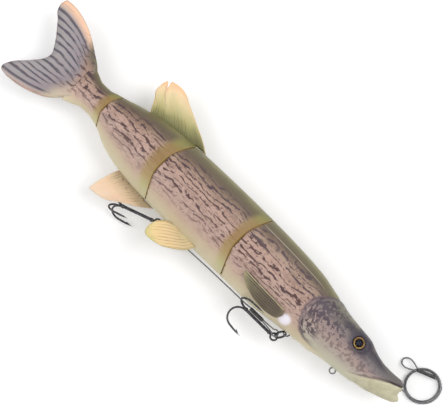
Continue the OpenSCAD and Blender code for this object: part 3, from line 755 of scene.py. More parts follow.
# Stops run from the belly at 0 to the back at 1
skin = {
    "stops": (
        (0.0, (214, 204, 172)), (0.06, (207, 193, 162)), (0.12, (202, 185, 156)),
        (0.2, (194, 168, 150)), (0.3, (187, 159, 147)), (0.45, (185, 156, 144)),
        (0.6, (181, 150, 136)), (0.72, (160, 134, 117)), (0.79, (124, 104, 86)),
        (0.84, (96, 82, 68)), (0.9, (94, 84, 62)), (0.95, (104, 97, 68)), (1.0, (132, 126, 90))),
    "headStops": (
        (0.0, (202, 199, 174)), (0.1, (194, 189, 166)), (0.24, (178, 166, 154)),
        (0.42, (166, 146, 138)), (0.6, (136, 118, 116)), (0.76, (104, 94, 92)),
        (0.88, (104, 99, 90)), (1.0, (126, 122, 104))),
    "bandStops": (
        (0.0, (206, 196, 160)), (0.12, (188, 180, 132)), (0.26, (166, 142, 94)),
        (0.5, (144, 115, 72)), (0.78, (142, 116, 70)), (0.9, (136, 128, 72)), (1.0, (116, 112, 66))),
    "dusk": (118, 92, 80),
    "line": (72, 44, 42),
    "lineBlue": (68, 50, 56),
    "lineScale": 282.0,
    "fineLineScale": 430.0,
    "lineWidth": 0.2,
    "snout": (92, 86, 86),
    "jaw": (196, 191, 162),
    "jawShade": (180, 174, 146),
    "mottle": (60, 47, 60),
    "eyePatch": (44, 36, 50),
    "mouth": (52, 42, 48),
    "gill": (84, 66, 80),
    # a thin pale line along the upper flank of the head segment: painted highlight, and the height share it
    # runs at
    "ridgeHighlight": (178, 172, 152),
    "ridgeHighlightHeight": 0.878,
    # soft white spot on the right flank near the pectoral fin's root: painted highlight (glare)
    "glare": (246, 240, 248),
    "inside": (150, 122, 70),
}


def skinMaterial(name, isHead):
    material, tree, shader = newMaterial(name, 0.48, 0.0, Coat_Roughness=0.3, Specular_IOR_Level=0.3)
    height, band, inside = (attribute(tree, key) for key in ("heightShare", "band", "inside"))
    plain = objectPlace(tree)
    cloud = noise(tree, plain, 60.0, 4.0, 0.6)
    grain = noise(tree, plain, 420.0, 4.0, 0.6)
    wobble = plus(tree, height, swing(tree, cloud, 0.14))
    color = ramp(tree, wobble, skin["stops"])
    dusk = ranged(tree, noise(tree, objectPlace(tree, (0.42, 1.0, 1.0)), 150.0, 4.0, 0.65), 0.47, 0.66)
    onFlank = times(tree, ranged(tree, height, 0.12, 0.36), ranged(tree, height, 0.93, 0.82))
    color = mixed(tree, times(tree, dusk, onFlank, 0.4), color, skin["dusk"])
    color = mixed(tree, times(tree, ranged(tree, grain, 0.42, 0.66), onFlank, 0.3), color, skin["dusk"])

    # Worm-like lines in two sizes, faint towards the belly
    bold = useGroup(
        tree, wormLines, Vector=objectPlace(tree, (0.46, 1, 1)), Scale=skin["lineScale"],
        Width=skin["lineWidth"], Broken=ranged(tree, wobble, 0.2, 0.45, 0.45, 0.37))["Mask"]
    fine = useGroup(
        tree, wormLines, Vector=objectPlace(tree, (0.55, 1, 1), (0.3, 0.1, 0.2)),
        Scale=skin["fineLineScale"], Width=skin["lineWidth"], Broken=0.5)["Mask"]
    lines = times(
        tree, calc(tree, "MAXIMUM", bold, times(tree, fine, 0.7)), ranged(tree, wobble, 0.13, 0.36),
        ranged(tree, height, 0.91, 0.8), ranged(tree, wobble, 0.1, 0.5, 0.5, 0.95))
    if isHead:
        inHead = attribute(tree, "head")
        lines = times(tree, lines, inverse(tree, inHead))
    lineColor = mixed(tree, ranged(tree, wobble, 0.42, 0.8), skin["line"], skin["lineBlue"])
    lineColor = mixed(tree, ranged(tree, cloud, 0.44, 0.6, 0.0, 0.7), lineColor, skin["lineBlue"])
    color = mixed(tree, lines, color, lineColor)

    if isHead:
        cheek = ramp(tree, wobble, skin["headStops"])
        cheek = mixed(tree, attribute(tree, "snout"), cheek, skin["snout"])
        curve = together(tree, attribute(tree, "gillAway"), times(tree, attribute(tree, "gillAlong"), 0.3))
        streak = ranged(tree, noise(tree, curve, 560.0, 3.0, 0.55, 0.5), 0.48, 0.54)
        mottle = ranged(tree, noise(tree, plain, 400.0, 4.0, 0.62), 0.5, 0.55)
        freckle = calc(
            tree, "MAXIMUM", times(tree, streak, attribute(tree, "gillNear")),
            times(tree, mottle, attribute(tree, "mottle")))
        cheek = mixed(tree, times(tree, freckle, 0.88), cheek, skin["mottle"])
        color = mixed(tree, inHead, color, cheek)
        patch = times(tree, attribute(tree, "eyeShade"), ranged(tree, grain, 0.35, 0.6, 0.85, 1.0))
        color = mixed(tree, patch, color, skin["eyePatch"])
        jaw = mixed(tree, ranged(tree, noise(tree, plain, 240.0), 0.35, 0.7), skin["jaw"], skin["jawShade"])
        color = mixed(tree, attribute(tree, "lowerJaw"), color, jaw)
        # painted highlight: a thin pale line at one height share along the upper flank
        ridgeHighlight = ranged(tree, apart(tree, height, skin["ridgeHighlightHeight"]), 0.006, 0.002)
        color = mixed(tree, times(tree, ridgeHighlight, attribute(tree, "ridgeHighlight")), color, skin["ridgeHighlight"])
        # dark gill and mouth lines, then the soft white spot of painted highlight
        for mark, paint in (("gillLine", "gill"), ("mouthLine", "mouth"), ("glare", "glare")):
            color = mixed(tree, attribute(tree, mark), color, skin[paint])
    color = mixed(tree, times(tree, band, 0.92), color, ramp(tree, height, skin["bandStops"]))
    color = mixed(tree, inside, color, skin["inside"])
    link(tree, color, shader.inputs["Base Color"])
    link(tree, ranged(tree, cloud, 0.3, 0.7, 0.42, 0.55), shader.inputs["Roughness"])
    link(tree, times(tree, inverse(tree, inside), 0.14), shader.inputs["Coat Weight"])
    scales = useGroup(tree, scaleRelief, Vector=objectPlace(tree, (0.8, 1.0, 1.0)), Scale=760.0)["Height"]
    grooves = times(tree, scales, inverse(tree, band))
    if isHead:
        pores = times(tree, noise(tree, plain, 900.0), inHead, 0.8)
        grooves = plus(tree, times(tree, grooves, inverse(tree, inHead)), pores)
    bump(tree, shader, grooves, 0.4, 0.0002)
    return material


# Masks and measures that the head's skin is painted by, one attribute each
def paintHead(piece):
    data = piece.data
    # place of the painted white highlight spot on the upper, right flank
    glare = onSurface(imagePoints["glareSpot"], piece) / mm
    layers = {}
    for vert in data.vertices:
        x, y, z = (c / mm for c in vert.co)
        onSide = smooth(1.0, 4.0, abs(z - body["midZ"]))
        share = (y - bellyY(x)) / max(0.1, backY(x) - bellyY(x))
        away, side, along = nearestOnLine((x, y), gillLine)
        signed = away if side > 0 else -away
        rearHigh = smooth(0.3, 0.55, share) * (1 - smooth(94, 112, x))
        rearHigh *= 1 - 0.6 * smooth(0.84, 0.95, share)
        onGill = smooth(0.05, 0.2, along) * (1 - smooth(0.75, 1.0, along))
        ex, ey = x - eyePlace[0], y - eyePlace[1]
        patch = 1 - smooth(0.55, 1.2, math.hypot((ex - 0.8) / 9.6, (ey - 1.3) / 8.2))
        behind = 1 - smooth(0.3, 1.0, math.hypot((x - 100) / 10, (y - 10.6) / 3.4))
        top = 1 - smooth(0.4, 1.0, math.hypot((x - 121) / 15, (y - (9.2 - 0.15 * (x - 110))) / 3.4))
        lipAway, lipSide = nearestOnLine((x, y), mouthLine)[:2]
        fromGlare = math.hypot((x - glare.x) * 0.9, y - glare.y)
        marks = {
            "head": max(smooth(-0.5, 0.5, signed), smooth(90, 106, x)),
            "gillAway": signed * mm,
            "gillAlong": along * 56 * mm,
            "gillNear": (1 - smooth(7, 17, away)) * smooth(0.08, 0.2, share) * (1 - smooth(84, 92, x)),
            "mottle": max(0.55 * smooth(0.18, 0.36, share) * (1 - smooth(122, 140, x)), rearHigh),
            "snout": 0.85 * smooth(104, 124, x) * smooth(0.38, 0.85, share),
            "eyeShade": max(patch, 0.8 * top, 0.75 * behind) * onSide,
            "lowerJaw": smooth(-0.3, 0.9, math.copysign(lipAway, lipSide)) * smooth(116, 126, x),
            # where the painted highlight line runs along the upper flank, between the front joint and the
            # gill
            "ridgeHighlight": 0.7 * smooth(20, 27, x) * (1 - smooth(64, 80, x)) * onSide,
            "mouthLine": math.exp(-(lipAway / 0.5) ** 4) * smooth(133, 141, x),
            "gillLine": 0.8 * math.exp(-(away / 0.6) ** 2) * onGill,
            # white spot of painted highlight, on the upper (right) flank only
            "glare": 1 - smooth(2.0, 4.4, fromGlare) if z > body["midZ"] else 0.0,
        }
        for name, value in marks.items():
            layers.setdefault(name, []).append(value)
    for name, values in layers.items():
        data.attributes.new(name, "FLOAT", "POINT").data.foreach_set("value", values)
    return glare


headSkin = skinMaterial("headSkin", True)
flankSkin = skinMaterial("flankSkin", False)
segments = (
    ("frontSegmentSkin", "front", None, 150, headSkin, "front_segment", "front_body"),
    ("midSegmentSkin", "middle", "front", 56, flankSkin, "mid_segment", "mid_body"),
    ("rearSegmentSkin", "tail", "middle", 48, flankSkin, "rear_segment", "rear_body"),
    ("tailSegmentSkin", None, "tail", 26, flankSkin, "tail_segment", "tail_body"),
)
shells = {}
for name, rear, front, rings, material, node, carrier in segments:
    shells[name] = bodyShell(name, rear, front, rings, material)
    fit(shells[name], carrier, node)
    print(name, len(shells[name].data.polygons), "faces")
# paints the head's masks and keeps the place of its painted highlight spot
glarePlace = paintHead(shells["frontSegmentSkin"])

# Fins: four border lines each, in the fin's own plane, and stops from its foot to its tip
finForms = {
    "dorsal": {
        "node": "dorsal_fin", "body": "rear_body",
        "foot": (
            (-67.9, 15.0), (-58, 17.6), (-47, 19.0), (-38.4, 20.2), (-37.3, 21.6), (-36.6, 22.4),
            (-33, 22.6), (-29.2, 22.8)),
        "rear": ((-67.9, 15.0), (-71.2, 20.4), (-73.4, 25.0), (-76.4, 29.4), (-76.6, 33.6)),
        "tip": (
            (-76.6, 33.6), (-76.4, 35.6), (-75.6, 37.4), (-74.7, 37.9), (-72.4, 35.0), (-73.2, 38.9),
            (-71.6, 39.9), (-68.2, 40.6), (-64.6, 40.5), (-61.0, 39.4), (-57.1, 37.3)),
        "front": ((-29.2, 22.8), (-35.5, 26.9), (-44.9, 31.5), (-52, 34.9), (-57.1, 37.3)),
        "thick": (1.7, 0.9), "curl": 0.9, "ribs": 30,
        "stops": (
            (0.0, (104, 102, 52)), (0.12, (112, 108, 56)), (0.3, (148, 142, 84)), (0.45, (188, 176, 122)),
            (0.66, (220, 202, 152)), (0.82, (240, 212, 168)), (1.0, (244, 196, 150))),
        "ray": (58, 60, 34), "rayCount": 30.0, "rayFrom": 0.44, "rayTo": 0.10, "rayWidth": 0.42,
        "rayStrength": 0.8, "edge": (226, 196, 140), "edgeWidth": 0.03, "speckle": 0.1,
    },
    "anal": {
        "node": "anal_fin", "body": "rear_body",
        "foot": (
            (-58, -16.2), (-52, -17.4), (-46, -18.2), (-38.4, -19.0), (-37.3, -20.1), (-36.6, -20.75),
            (-33, -20.85), (-29.2, -20.95)),
        "rear": ((-58, -16.2), (-60.2, -20.5), (-62.0, -25.6), (-63.6, -31.1), (-64.7, -37.2)),
        "tip": (
            (-64.7, -37.2), (-64.7, -38.4), (-63.0, -38.5), (-58.1, -38.0), (-54.6, -37.2), (-51.8, -36.0)),
        "front": ((-29.2, -20.95), (-36.2, -26.2), (-41.0, -29.0), (-46.1, -32.0), (-51.8, -36.0)),
        "thick": (1.6, 0.8), "curl": -0.8, "ribs": 22,
        "stops": (
            (0.0, (160, 140, 104)), (0.16, (176, 152, 116)), (0.34, (212, 184, 148)),
            (0.6, (236, 204, 172)), (1.0, (244, 216, 188))),
        "ray": (96, 74, 52), "rayCount": 24.0, "rayFrom": 0.42, "rayTo": 0.16, "rayWidth": 0.5,
        "rayStrength": 0.5, "edge": (232, 214, 190), "edgeWidth": 0.03, "speckle": 0.6,
    },
    "pelvic": {
        "foot": ((-10.5, 1.7), (-3.5, 1.9), (3.6, 1.2)),
        "rear": ((-10.5, 1.7), (-16.0, 1.2), (-20.2, -1.2), (-23.0, -4.4), (-24.1, -8.2)),
        "tip": ((-24.1, -8.2), (-24.2, -11.2), (-23.4, -14.0), (-21.2, -15.4), (-17.2, -15.2)),
        "front": ((3.6, 1.2), (1.2, -4.4), (-4.6, -9.4), (-10.7, -13.4), (-17.2, -15.2)),
        "thick": (1.2, 0.6), "curl": 0.5, "ribs": 9,
        "stops": (
            (0.0, (198, 182, 136)), (0.2, (202, 180, 134)), (0.5, (222, 194, 144)),
            (0.8, (226, 200, 142)), (1.0, (198, 190, 122))),
        "ray": (150, 118, 78), "rayCount": 9.0, "rayFrom": 0.95, "rayTo": 0.5, "rayWidth": 0.3,
        "rayStrength": 0.6, "edge": (190, 176, 116), "edgeWidth": 0.04, "speckle": 0.15,
    },
    "pectoral": {
        "foot": ((-2.1, 2.7), (-0.6, -0.4), (-1.6, -4.4)),
        "rear": ((-2.1, 2.7), (-9, 3.4), (-18, 3.8), (-26, 4.2), (-33.2, 4.8)),
        "tip": ((-33.2, 4.8), (-33.9, 3.6), (-32.6, 1.2), (-30.0, -1.1), (-26.6, -3.2)),
        "front": ((-1.6, -4.4), (-4.0, -5.8), (-8.4, -6.8), (-13.0, -6.8), (-19.6, -5.8), (-26.6, -3.2)),
        "thick": (1.2, 0.5), "curl": 0.25, "ribs": 12,
        "stops": (
            (0.0, (128, 116, 88)), (0.14, (98, 84, 64)), (0.5, (104, 92, 70)), (0.8, (122, 112, 84)),
            (1.0, (168, 160, 122))),
        "ray": (48, 38, 34), "rayCount": 7.0, "rayFrom": 1.1, "rayTo": 0.9, "rayWidth": 0.5,
        "rayStrength": 0.85, "edge": (172, 162, 126), "edgeWidth": 0.05, "speckle": 0.3,
    },
    "tail": {
        "node": "tail_fin", "body": "tail_body",
        "foot": ((-110.0, -9.2), (-107.0, -5), (-105.4, 1.0), (-106.0, 7.5), (-107.4, 12.4)),
        "rear": ((-110.0, -9.2), (-117.8, -17.2), (-126.1, -21.7), (-136.4, -24.7), (-144.2, -25.5)),
        "tip": (
            (-144.2, -25.5), (-149.0, -24.8), (-150.2, -22.0), (-147.2, -16.3), (-141.4, -10.1),
            (-135.8, -3.1), (-134.4, 2.0), (-136.5, 6.3), (-140, 11.5), (-146, 18.8), (-149.4, 22.0),
            (-150.9, 26.5), (-150.0, 30.6)),
        "front": (
            (-107.4, 12.4), (-111.3, 16.1), (-116.2, 19.4), (-121.5, 23.0), (-128.4, 26.9), (-137.0, 30.0),
            (-144.4, 31.2), (-150.0, 30.6)),
        "thick": (1.6, 0.9), "fairing": 2.6, "curl": 1.2, "ribs": 22,
        "stops": (
            (0.0, (188, 174, 152)), (0.16, (168, 154, 146)), (0.3, (136, 123, 127)),
            (0.6, (150, 141, 145)), (0.9, (158, 151, 152)), (1.0, (142, 138, 138))),
        "ray": (58, 50, 66), "rayCount": 15.0, "rayFrom": 0.34, "rayTo": 0.5, "rayWidth": 0.46,
        "rayStrength": 0.88, "edge": (236, 196, 166), "edgeWidth": 0.09, "speckle": 0.6,
        "root": (  # from the lower edge to the upper one
            (0.0, (196, 182, 158)), (0.3, (186, 166, 150)), (0.5, (176, 146, 132)),
            (0.8, (146, 118, 104)), (0.93, (100, 88, 70)), (1.0, (100, 92, 66))),
    },
}


# A curve through the points, by its share of their length
def evenCurve(points):
    path = throughPoints([(p[0], p[1], 0) for p in points], 0.2)
    lengths = [0.0]
    for a, b in zip(path, path[1:]):
        lengths.append(lengths[-1] + (b - a).length)

    def at(share):
        want = share * lengths[-1]
        i = 0
        while i < len(path) - 2 and lengths[i + 1] < want:
            i += 1
        t = (want - lengths[i]) / max(1e-9, lengths[i + 1] - lengths[i])
        return path[i].lerp(path[i + 1], t)
    return at


# Rays of a fin: lines along it, each with its own random pick
finRays, given, made = newGroup(
    "finRays", {"Across": 0.0, "Along": 0.0, "Count": 20.0, "Width": 0.4}, ("Mask", "Pick", "Height"))
across, width = given["Across"], given["Width"]
wander = noise(finRays, together(finRays, times(finRays, across, 3.0), given["Along"]), 4.0)
cell = plus(finRays, times(finRays, across, given["Count"]), swing(finRays, wander, 0.7))
middle = apart(finRays, calc(finRays, "FRACT", cell), 0.5)
rayMask = ranged(finRays, middle, times(finRays, width, 0.5), times(finRays, width, 0.22))
picker = finRays.nodes.new("ShaderNodeTexWhiteNoise")
picker.noise_dimensions = "1D"
link(finRays, calc(finRays, "FLOOR", cell), picker.inputs["W"])
link(finRays, rayMask, made["Mask"])
link(finRays, picker.outputs["Value"], made["Pick"])
link(finRays, ranged(finRays, middle, 0.5, 0.0), made["Height"])


def finMaterial(name, form):
    material, tree, shader = newMaterial(
        name, 0.5, 0.0, Coat_Weight=0.15, Coat_Roughness=0.35, Subsurface_Weight=0.18,
        Subsurface_Scale=0.0015)
    uv = tree.nodes.new("ShaderNodeUVMap")
    uv.uv_map = "fin"
    across, along = splitUp(tree, uv.outputs["UV"])
    cloud = noise(tree, objectPlace(tree), 140.0, 3.0, 0.6)
    shifted = plus(tree, along, swing(tree, cloud, 0.22))
    color = ramp(tree, shifted, form["stops"])
    rays = useGroup(
        tree, finRays, Across=across, Along=along, Count=form["rayCount"], Width=form["rayWidth"])
    start = plus(tree, form["rayFrom"], swing(tree, rays["Pick"], 0.26))
    fade = ranged(tree, along, start, plus(tree, start, form["rayTo"] - form["rayFrom"]))
    rayMask = times(
        tree, rays["Mask"], fade, ranged(tree, cloud, 0.28, 0.5, 0.35, 1.0), form["rayStrength"])
    fromBorder = calc(tree, "MINIMUM", across, inverse(tree, across))
    wide = form["edgeWidth"]
    border = ranged(tree, fromBorder, wide * 1.15, wide * 0.25)
    if "root" in form:
        border = times(
            tree, border, ranged(tree, along, 0.2, 0.42), ranged(tree, across, 0.35, 0.9, 0.45, 1.0))
        stripe = ranged(tree, apart(tree, fromBorder, wide * 1.08), 0.018, 0.006)
        stripe = times(tree, stripe, ranged(tree, along, 0.2, 0.4, 0.0, 0.8))
        rayMask = times(tree, calc(tree, "MAXIMUM", rayMask, stripe), inverse(tree, border))
    color = mixed(tree, border, color, form["edge"])
    color = mixed(tree, rayMask, color, form["ray"])
    fleck = ranged(tree, noise(tree, objectPlace(tree), 700.0, 4.0, 0.65), 0.54, 0.64)
    fleck = times(tree, fleck, ranged(tree, along, 0.42, 0.12), form["speckle"])
    color = mixed(tree, fleck, color, form["ray"])
    if "root" in form:
        color = mixed(tree, ranged(tree, shifted, 0.47, 0.25), color, ramp(tree, across, form["root"]))
        lines = useGroup(
            tree, wormLines, Vector=objectPlace(tree, (0.5, 1, 1)), Scale=290.0, Width=0.19,
            Broken=0.42)["Mask"]
        lines = times(
            tree, lines, ranged(tree, along, 0.6, 0.34, 0.0, 0.9), ranged(tree, across, 0.2, 0.38))
        color = mixed(tree, lines, color, skin["line"])
    link(tree, color, shader.inputs["Base Color"])
    link(tree, ranged(tree, cloud, 0.3, 0.7, 0.42, 0.58), shader.inputs["Roughness"])
    bump(tree, shader, times(tree, rays["Height"], ranged(tree, along, 0.05, 0.25)), 0.5, 0.00025)
    return material


# A fin: two ribbed sheets between its four borders, closed and rounded at the edge
def finShell(name, form, material, place, across=64, outward=56):
    foot, rear, tip, front = (evenCurve(form[key]) for key in ("foot", "rear", "tip", "front"))
    bm = bmesh.new()
    uv = bm.loops.layers.uv.new("fin")
    shares = bm.verts.layers.float_vector.new("shares")
    for side in (1, -1):
        grid = bmesh.ops.create_grid(bm, x_segments=across, y_segments=outward, size=0.5)["verts"]
        for vert in grid:
            u = round((vert.co.x + 0.5) * across) / across
            v = round((vert.co.y + 0.5) * outward) / outward
            vert[shares] = (u, v, side)
            flat = (
                foot(u) * (1 - v) + tip(u) * v + rear(v) * (1 - u) + front(v) * u
                - foot(0) * (1 - u) * (1 - v) - foot(1) * u * (1 - v)
                - tip(0) * (1 - u) * v - tip(1) * u * v)
            near = min(u, 1 - u, 1 - v, v)
            thick = form["thick"][0] + (form["thick"][1] - form["thick"][0]) * v ** 0.7
            thick += form.get("fairing", 0.0) * (1 - smooth(0.08, 0.36, v)) * smooth(0, 0.16, min(u, 1 - u))
            ripple = 0.09 * math.cos(2 * math.pi * form["ribs"] * u)
            ripple *= smooth(0.1, 0.3, v) * smooth(0, 0.05, near)
            half = (thick / 2 + ripple) * math.sqrt(min(1.0, near / 0.05))
            bend = form["curl"] * v * v * (0.4 + 0.6 * math.sin(2.6 * u + 0.3))
            vert.co = (flat.x, flat.y, side * half + bend)
    bmesh.ops.remove_doubles(bm, verts=bm.verts, dist=0.0004)
    bmesh.ops.recalc_face_normals(bm, faces=bm.faces)
    for face in bm.faces:
        for loop in face.loops:
            loop[uv].uv = loop.vert[shares][:2]
    bmesh.ops.transform(bm, matrix=Matrix.Scale(mm, 4) @ place, verts=bm.verts)
    if place.to_3x3().determinant() < 0:
        bmesh.ops.reverse_faces(bm, faces=bm.faces)
    return fromBmesh(name, bm, material)


def turned(degrees, axis):
    return Matrix.Rotation(math.radians(degrees), 4, axis)


finSkins = {key: finMaterial(key + "FinSkin", form) for key, form in finForms.items()}
for key in ("dorsal", "anal", "tail"):
    form = finForms[key]
    piece = finShell(key + "Fin", form, finSkins[key], Matrix.Translation((0, 0, body["midZ"])))
    fit(piece, form["body"], form["node"])

pairedFins = {
    "pelvicBehind": 15.0,  # behind the front lip
    "pelvicOut": 6.0,
    "pelvicIn": 1.2,
    "pectoralAt": (67.0, -11.0),
    "pectoralOut": 1.1,
}
for side, word in ((1, "right"), (-1, "left")):
    x = joints["front"]["edge"] - pairedFins["pelvicBehind"]
    place = Matrix.Translation(
        (0, bellyY(x) + pairedFins["pelvicIn"], body["midZ"] + side * pairedFins["pelvicOut"]))
    piece = finShell(
        "pelvicFin" + word.title(), finForms["pelvic"], finSkins["pelvic"], place @ turned(-side * 25, "X"),
        48, 40)
    fit(piece, "mid_body", "pelvic_fin_" + word)
    x, y = pairedFins["pectoralAt"]
    place = Matrix.Translation((x, y, body["midZ"] + side * flankZ(x, y)))
    place = place @ turned(side * 32, "X") @ turned(side * 1.5, "Y") @ Matrix.Scale(side, 4, (0, 0, 1))
    place = place @ Matrix.Translation((0, 0, pairedFins["pectoralOut"]))
    piece = finShell(
        "pectoralFin" + word.title(), finForms["pectoral"], finSkins["pectoral"], place, 40, 48)
    fit(piece, "front_body", "pectoral_fin_" + word)
print("fins ready")

# Tackle under the belly
tackle = {
    "upWay": Vector((0.507, 0.862, 0)),
    "sideWay": Vector((-0.474, 0.279, 0.835)),
    "ringRadius": 3.4,
    "ringWire": 0.7,
    "ringTurns": 1.93,
    "hookWire": 0.6,
    "eyeRadius": 2.05,
    "shank": 23.0,
    "bend": 6.2,
    "turn": 172.0,
    "leg": 9.2,
    "barbAt": 0.62,
    "stinger": 0.8,
    "frontLoop": 2.1,
    "rearLoop": 1.7,
    "crimpWide": 2.3,
    "crimpLong": 9.8,
    "rearEyeAhead": 21.0,  # ahead of the middle lip
    "bendAhead": 21.0,  # ahead of the front lip
}
blackNickel = metalFinish("blackNickel", 0.26, 0.92, (56, 56, 60), (98, 96, 98), 700.0, 0.7, (0.2, 0.42))
brightSteel = metalFinish(
    "brightSteel", 0.3, 0.95, (132, 130, 128), (96, 94, 92), 500.0, 0.5, (0.22, 0.42))
crimpBlack = metalFinish("crimpBlack", 0.45, 0.3, (38, 37, 40), (84, 80, 78), 800.0, 0.6, (0.36, 0.56))
castLead = metalFinish("castLead", 0.6, 0.6, (120, 122, 126), (90, 90, 94), 300.0, 0.8)


def hazed(name, roughness, scale, a, b, **sockets):
    material, tree, shader = newMaterial(name, roughness, 0.0, **sockets)
    link(tree, mixed(tree, noise(tree, objectPlace(tree), scale), a, b), shader.inputs["Base Color"])
    return material


tubePlastic = hazed("tubePlastic", 0.4, 300.0, (214, 210, 196), (178, 172, 156))
eyeResin = hazed("eyeResin", 0.12, 200.0, (40, 40, 46), (30, 30, 34), Alpha=0.1)


# A treble: its eye, three hooks with their barbs, and the brazed shank
def treble(name, place, angles):
    r, eyeRadius, shank, bend, leg = (
        tackle[key] for key in ("hookWire", "eyeRadius", "shank", "bend", "leg"))
    off = 0.8 * r
    leave = math.radians(180 - tackle["turn"])
    ring = []
    for i in range(40):
        a = 2 * math.pi * i / 40
        ring.append(place @ Vector((eyeRadius * math.cos(a), eyeRadius * math.sin(a), 0)) * mm)
    parts = [tube("eyeWire", ring, r * mm, blackNickel, True, 5)]
    flat = [(-2.0 - (shank - 2.4) * i / 10, off * (0.75 + 0.25 * smooth(0, 3, i))) for i in range(11)]
    radii = [r * (0.94 + 0.03 * math.sin(i)) for i in range(11)]
    for i in range(1, 33):
        a = math.radians(270 - tackle["turn"] * i / 32)
        flat.append((-shank + 0.4 + bend * math.cos(a), off + bend + bend * math.sin(a)))
        radii.append(r)
    x, y = flat[-1]

    def onLeg(t):
        return x + leg * t * math.cos(leave), y + leg * t * math.sin(leave) - 0.5 * t * t

    for i in range(1, 13):
        flat.append(onLeg(i / 12))
        radii.append(r * (1 if i / 12 < 0.55 else max(0.12, (1 - i / 12) / 0.45 * 0.98)))
    bx, by = onLeg(tackle["barbAt"])
    barb = [(bx + 1.3, by - 0.25), (bx + 0.5, by - 0.5), (bx - 0.4, by - 0.95), (bx - 1.0, by - 1.35)]
    wires = (("hookWire", flat, radii, 5), ("barb", barb, (0.3, 0.36, 0.24, 0.06), 3))
    for angle in angles:
        c, s = math.cos(math.radians(angle)), math.sin(math.radians(angle))
        for wire, line, sizes, sides in wires:
            points = [place @ Vector((p[0], p[1] * c, p[1] * s)) * mm for p in line]
            parts.append(tube(wire, points, [size * mm for size in sizes], blackNickel, False, sides))
    for x0, length, size in ((-3.1, 1.6, 1.28), (-shank + 1.4, 1.8, 1.22)):
        points = [place @ Vector((x0 - length * k / 4, 0, 0)) * mm for k in range(5)]
        radii = [size * share * mm for share in (0.72, 0.95, 1, 0.95, 0.72)]
        parts.append(tube("braze", points, radii, blackNickel, False, 5))
    return joined(name, parts)


upWay, sideWay = tackle["upWay"], tackle["sideWay"]
ringCentre = Vector(body["bellyLoop"]) - (tackle["ringRadius"] + 0.5) * upWay
frontEye = ringCentre - tackle["ringRadius"] * upWay - Vector((0.2, 0.65, 0))
rearX = joints["middle"]["edge"] + tackle["rearEyeAhead"]
rearEye = Vector((rearX, bellyY(rearX) - 4.1, body["midZ"] - 0.5))
frontTreble = treble("frontTreble", Matrix.Translation(frontEye) @ turned(-2.2, "Y"), (180, 62, -62))
fit(frontTreble, "front_treble_body", "front_treble")
rearTreble = treble(
    "rearTreble", Matrix.Translation(rearEye) @ turned(19.7, "Z") @ turned(-8, "Y"), (110, -130, -10))
fit(rearTreble, "rear_treble_body", "rear_treble")

# Split ring: wire wound a little under two turns
ringPath = []
for share in (i / 84 for i in range(85)):
    a = math.radians(30) + share * 2 * math.pi * tackle["ringTurns"]
    lift = tackle["ringWire"] * 0.95 * (smooth(0.42, 0.58, share) - 0.5) * upWay.cross(sideWay)
    onRing = tackle["ringRadius"] * (math.cos(a) * upWay + math.sin(a) * sideWay)
    ringPath.append((ringCentre + onRing + lift) * mm)
splitRing = tube("splitRing", ringPath, tackle["ringWire"] / 2 * mm, blackNickel, False, 5)
fit(splitRing, "ring_body", "split_ring")
print("hooks ready")

# Stinger wire: one strand in three pieces, which follow the ring and the first two hinges
frontLoop = ringCentre + tackle["ringRadius"] * 0.707 * (sideWay - upWay) - Vector((0.8, 0, 0))
rearLoop = rearEye + Vector((2, 0.2, 0))
bendX = joints["front"]["edge"] + tackle["bendAhead"]
bendPoint = Vector((bendX, bellyY(bendX) - 1.5, body["midZ"] - 0.3))
crimpA = frontLoop + Vector((-10.2, 0.1, -0.5))
crimpWay = (bendPoint - crimpA).normalized()
crimpB = crimpA + tackle["crimpLong"] * crimpWay
rearA = rearLoop + Vector((4.6, 1, 0.4))
rearWay = (bendPoint - rearA).normalized()
rearB = rearA + tackle["crimpLong"] * rearWay


# From the middle of a crimp to one of its two strands
def acrossWire(way):
    return (tackle["stinger"] / 2 + 0.02) * Vector((0, 0, 1)).cross(way).normalized()


def loopPoints(centre, u, v, radius, count=9):
    out = []
    for i in range(count + 1):
        a = math.radians(32 + 296 * i / count)
        out.append(centre + radius * (math.cos(a) * u + math.sin(a) * v))
    return out


frontOff = acrossWire(crimpWay)
rearOff = acrossWire(rearWay)
turnWay = Vector((0, 0.94, -0.34)).normalized() * math.copysign(1, frontOff.y)
halfWay = (rearB + bendPoint) / 2
crimpMiddle = (crimpA + crimpB) / 2
routes = {
    "stingerLoop": [
        crimpB - 1.6 * crimpWay + frontOff, crimpA + frontOff,
        *loopPoints(frontLoop, Vector((-1, 0, 0)), turnWay, tackle["frontLoop"]),
        crimpA - frontOff, crimpMiddle - frontOff],
    "stingerFront": [
        crimpMiddle - frontOff, crimpB - frontOff, (crimpB + bendPoint) / 2, bendPoint, halfWay],
    "stingerRear": [
        halfWay, rearB - rearOff, rearA - rearOff,
        *loopPoints(rearLoop, Vector((1, 0, 0)), Vector((0, 0, 1)), tackle["rearLoop"]),
        rearA + rearOff, rearB - 1.6 * rearWay + rearOff],
}
stingers = {}
for name, route in routes.items():
    path = throughPoints([p * mm for p in route], 0.8 * mm)
    stingers[name] = tube(name, path, tackle["stinger"] / 2 * mm, wireSteel)
    print(name, round(pathLength(path), 4))
crimpPath = [(rearA + (rearB - rearA) * k / 12) * mm for k in range(13)]
rearCrimp = tube("rearCrimp", crimpPath, tackle["crimpWide"] / 2 * mm, crimpBlack, False, 5)


def span(*ends):
    return [Vector((x, bellyY(x), body["midZ"])) * mm for x in ends]


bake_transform(stingers["stingerLoop"], "ring_body", "front_body", *span(frontLoop.x - 2.6, crimpA.x + 1.5))
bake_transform(stingers["stingerFront"], "front_body", "mid_body", *span(bendPoint.x + 1, halfWay.x + 0.2))
for piece in (stingers["stingerRear"], rearCrimp):
    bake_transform(piece, "mid_body", "rear_body", *span(halfWay.x - 0.2, rearLoop.x))
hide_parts("rear_crimp")
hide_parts("stinger_wire")

